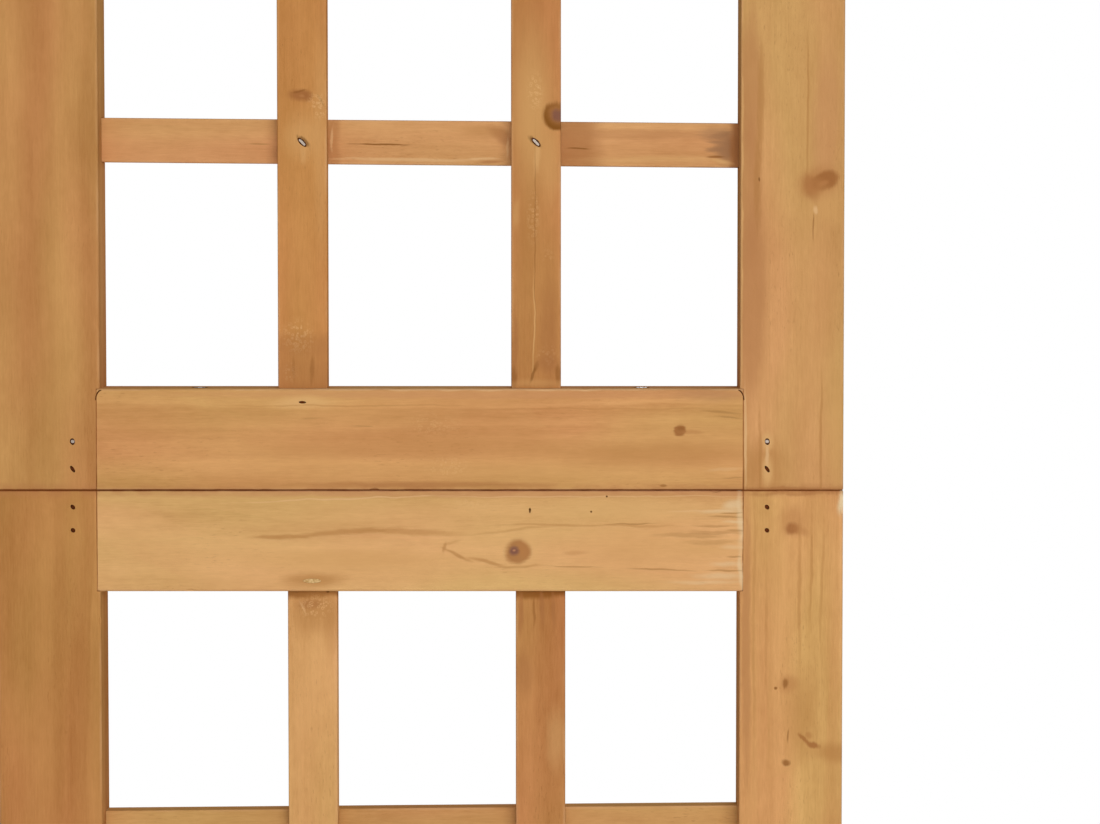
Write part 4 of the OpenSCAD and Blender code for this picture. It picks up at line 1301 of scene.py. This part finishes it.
class TRELLIS_OT_metal(Operator):
    """Finishes the brads, staples, bolts, nuts, hinges and screws"""

    bl_idname = "trellis.metal"
    bl_label = "Metal"

    def execute(self, context):
        colours = context.scene.trellis_colours
        # drawn wire: clean and shiny on the staples, painted dark as shade on the brads in their
        # deeper pits
        for panel in PANELS:
            finish(panel + "_panel_brads", drawn_wire(panel, colours.wire))
        # zinc-plated steel: grey, dull and faintly mottled
        zinc = scratched_metal("zinc_plated_steel", colours.zinc, 0.42, 700, (1, 1, 0.2), 0.2)
        finish("bolts", zinc)
        finish("nuts", zinc)
        # cold-rolled steel, pressed: long fine rolling lines down the plate
        rolled = scratched_metal("rolled_steel", colours.hinge, 0.36, 1200, (1, 1, 0.06), 0.25)
        finish("hinge", rolled)
        return {"FINISHED"}


class TRELLIS_OT_pegs(Operator):
    """Finishes the wooden pegs between the frames"""

    bl_idname = "trellis.pegs"
    bl_label = "Pegs"

    def execute(self, context):
        finish("pegs", turned_beech(context.scene.trellis_colours.peg))
        return {"FINISHED"}


# The soft lights: name, place, size and share of the key light's power, and where they aim; then
# where the camera stands and what it looks at
LAMPS = (
    ("key", (1.25, -3.7, 1.7), 2.6, 1.0),
    ("front", (0.3, -4.4, 1.2), 2.4, 0.5),
    ("back", (1.5, 3.6, 1.6), 2.4, 1.1),
)
LAMPS_AIM = (0.3, -0.19, 0.9)
CAMERA_AT, CAMERA_AIM = (0.37936, -1.89755, 0.9961), (0.37936, -0.19755, 0.9030)


def aimed(place, target):
    """The turn of a lamp or a camera that stands at a place and looks at a target."""
    return (Vector(target) - Vector(place)).to_track_quat("-Z", "Y").to_euler()


class TRELLIS_OT_stage(Operator):
    """Lays the pale floor, hangs the soft lights and sets the camera"""

    bl_idname = "trellis.stage"
    bl_label = "Stage"

    def execute(self, context):
        stage = context.scene.trellis_stage
        context.scene.view_settings.view_transform = "Standard"
        floor = start("circle", vertices=128, radius=stage.floor, fill_type="NGON",
                      location=(0, 0, 0))
        floor.name = "floor"
        floor.data.materials.append(self.paper(stage))

        for name, place, size, share in LAMPS:
            bpy.ops.object.light_add(type="AREA", location=place)
            lamp = context.object
            lamp.name = name
            lamp.data.size = size
            lamp.data.energy = stage.key * share
            lamp.rotation_euler = aimed(place, LAMPS_AIM)

        self.air(context, stage)
        bpy.ops.object.camera_add(location=CAMERA_AT)
        camera = context.object
        camera.name = "camera"
        camera.rotation_euler = aimed(CAMERA_AT, CAMERA_AIM)
        camera.data.sensor_width = 36
        camera.data.lens = stage.lens
        context.scene.camera = camera
        return {"FINISHED"}

    def paper(self, stage):
        """Matt pale floor that fades into the white at its rim."""
        material, tree, shader = new_material("matt_paper", Roughness=0.9)
        shader.inputs["Base Color"].default_value = paint(stage.paper)
        place = add(tree, "TexCoord").outputs["Object"]
        out = add(tree, "VectorMath LENGTH", {0: place}).outputs["Value"]
        rim = add(tree, "MapRange SMOOTHSTEP",
                  {"Value": out, 1: stage.floor * 0.35, 2: stage.floor * 0.97, 3: 0.4})
        eye = add(tree, "LightPath").outputs["Is Camera Ray"]
        part = add(tree, "Math MULTIPLY", {0: rim, 1: eye})
        white = add(tree, "Emission", {"Color": (1, 1, 1, 1), "Strength": 1.0})
        both = add(tree, "MixShader", {0: part, 1: shader.outputs[0], 2: white})
        tree.links.new(both.outputs[0], tree.nodes["Material Output"].inputs[0])
        return material

    def air(self, context, stage):
        """White where the camera sees it, and a dimmer fill for the light that it sheds."""
        world = bpy.data.worlds.new("studio")
        context.scene.world = world
        world.use_nodes = True
        tree = world.node_tree
        seen = add(tree, "LightPath").outputs["Is Camera Ray"]
        strength = add(tree, "Math MULTIPLY_ADD", {0: seen, 1: 1 - stage.fill, 2: stage.fill})
        backdrop = tree.nodes["Background"]
        backdrop.inputs["Color"].default_value = (1, 1, 1, 1)
        tree.links.new(strength.outputs[0], backdrop.inputs["Strength"])


class TRELLIS_PT_sidebar(Panel):
    """Sizes, colours and steps of the trellis screen"""

    bl_idname = "TRELLIS_PT_sidebar"
    bl_label = "Trellis Screen"
    bl_space_type = "VIEW_3D"
    bl_region_type = "UI"
    bl_category = "Trellis"

    def draw(self, context):
        scene = context.scene
        for group in (scene.trellis_sizes, scene.trellis_colours, scene.trellis_stage):
            box = self.layout.box()
            for name in group.__annotations__:
                box.prop(group, name)
        for step in STEPS:
            self.layout.operator(step.bl_idname)


GROUPS = {
    "trellis_sizes": TrellisSizes,
    "trellis_colours": TrellisColours,
    "trellis_stage": TrellisStage,
}
STEPS = (
    TRELLIS_OT_woods,
    TRELLIS_OT_stiles,
    TRELLIS_OT_rails,
    TRELLIS_OT_uprights,
    TRELLIS_OT_cross_slats,
    TRELLIS_OT_filler,
    TRELLIS_OT_metal,
    TRELLIS_OT_pegs,
    TRELLIS_OT_stage,
)


def register():
    for cls in (*GROUPS.values(), *STEPS, TRELLIS_PT_sidebar):
        bpy.utils.register_class(cls)
    for name, group in GROUPS.items():
        setattr(bpy.types.Scene, name, PointerProperty(type=group))


def unregister():
    for name in GROUPS:
        delattr(bpy.types.Scene, name)
    for cls in reversed((*GROUPS.values(), *STEPS, TRELLIS_PT_sidebar)):
        bpy.utils.unregister_class(cls)


def main():
    register()
    for step in STEPS:
        group, name = step.bl_idname.split(".")
        getattr(getattr(bpy.ops, group), name)()


if __name__ == "__main__":
    main()
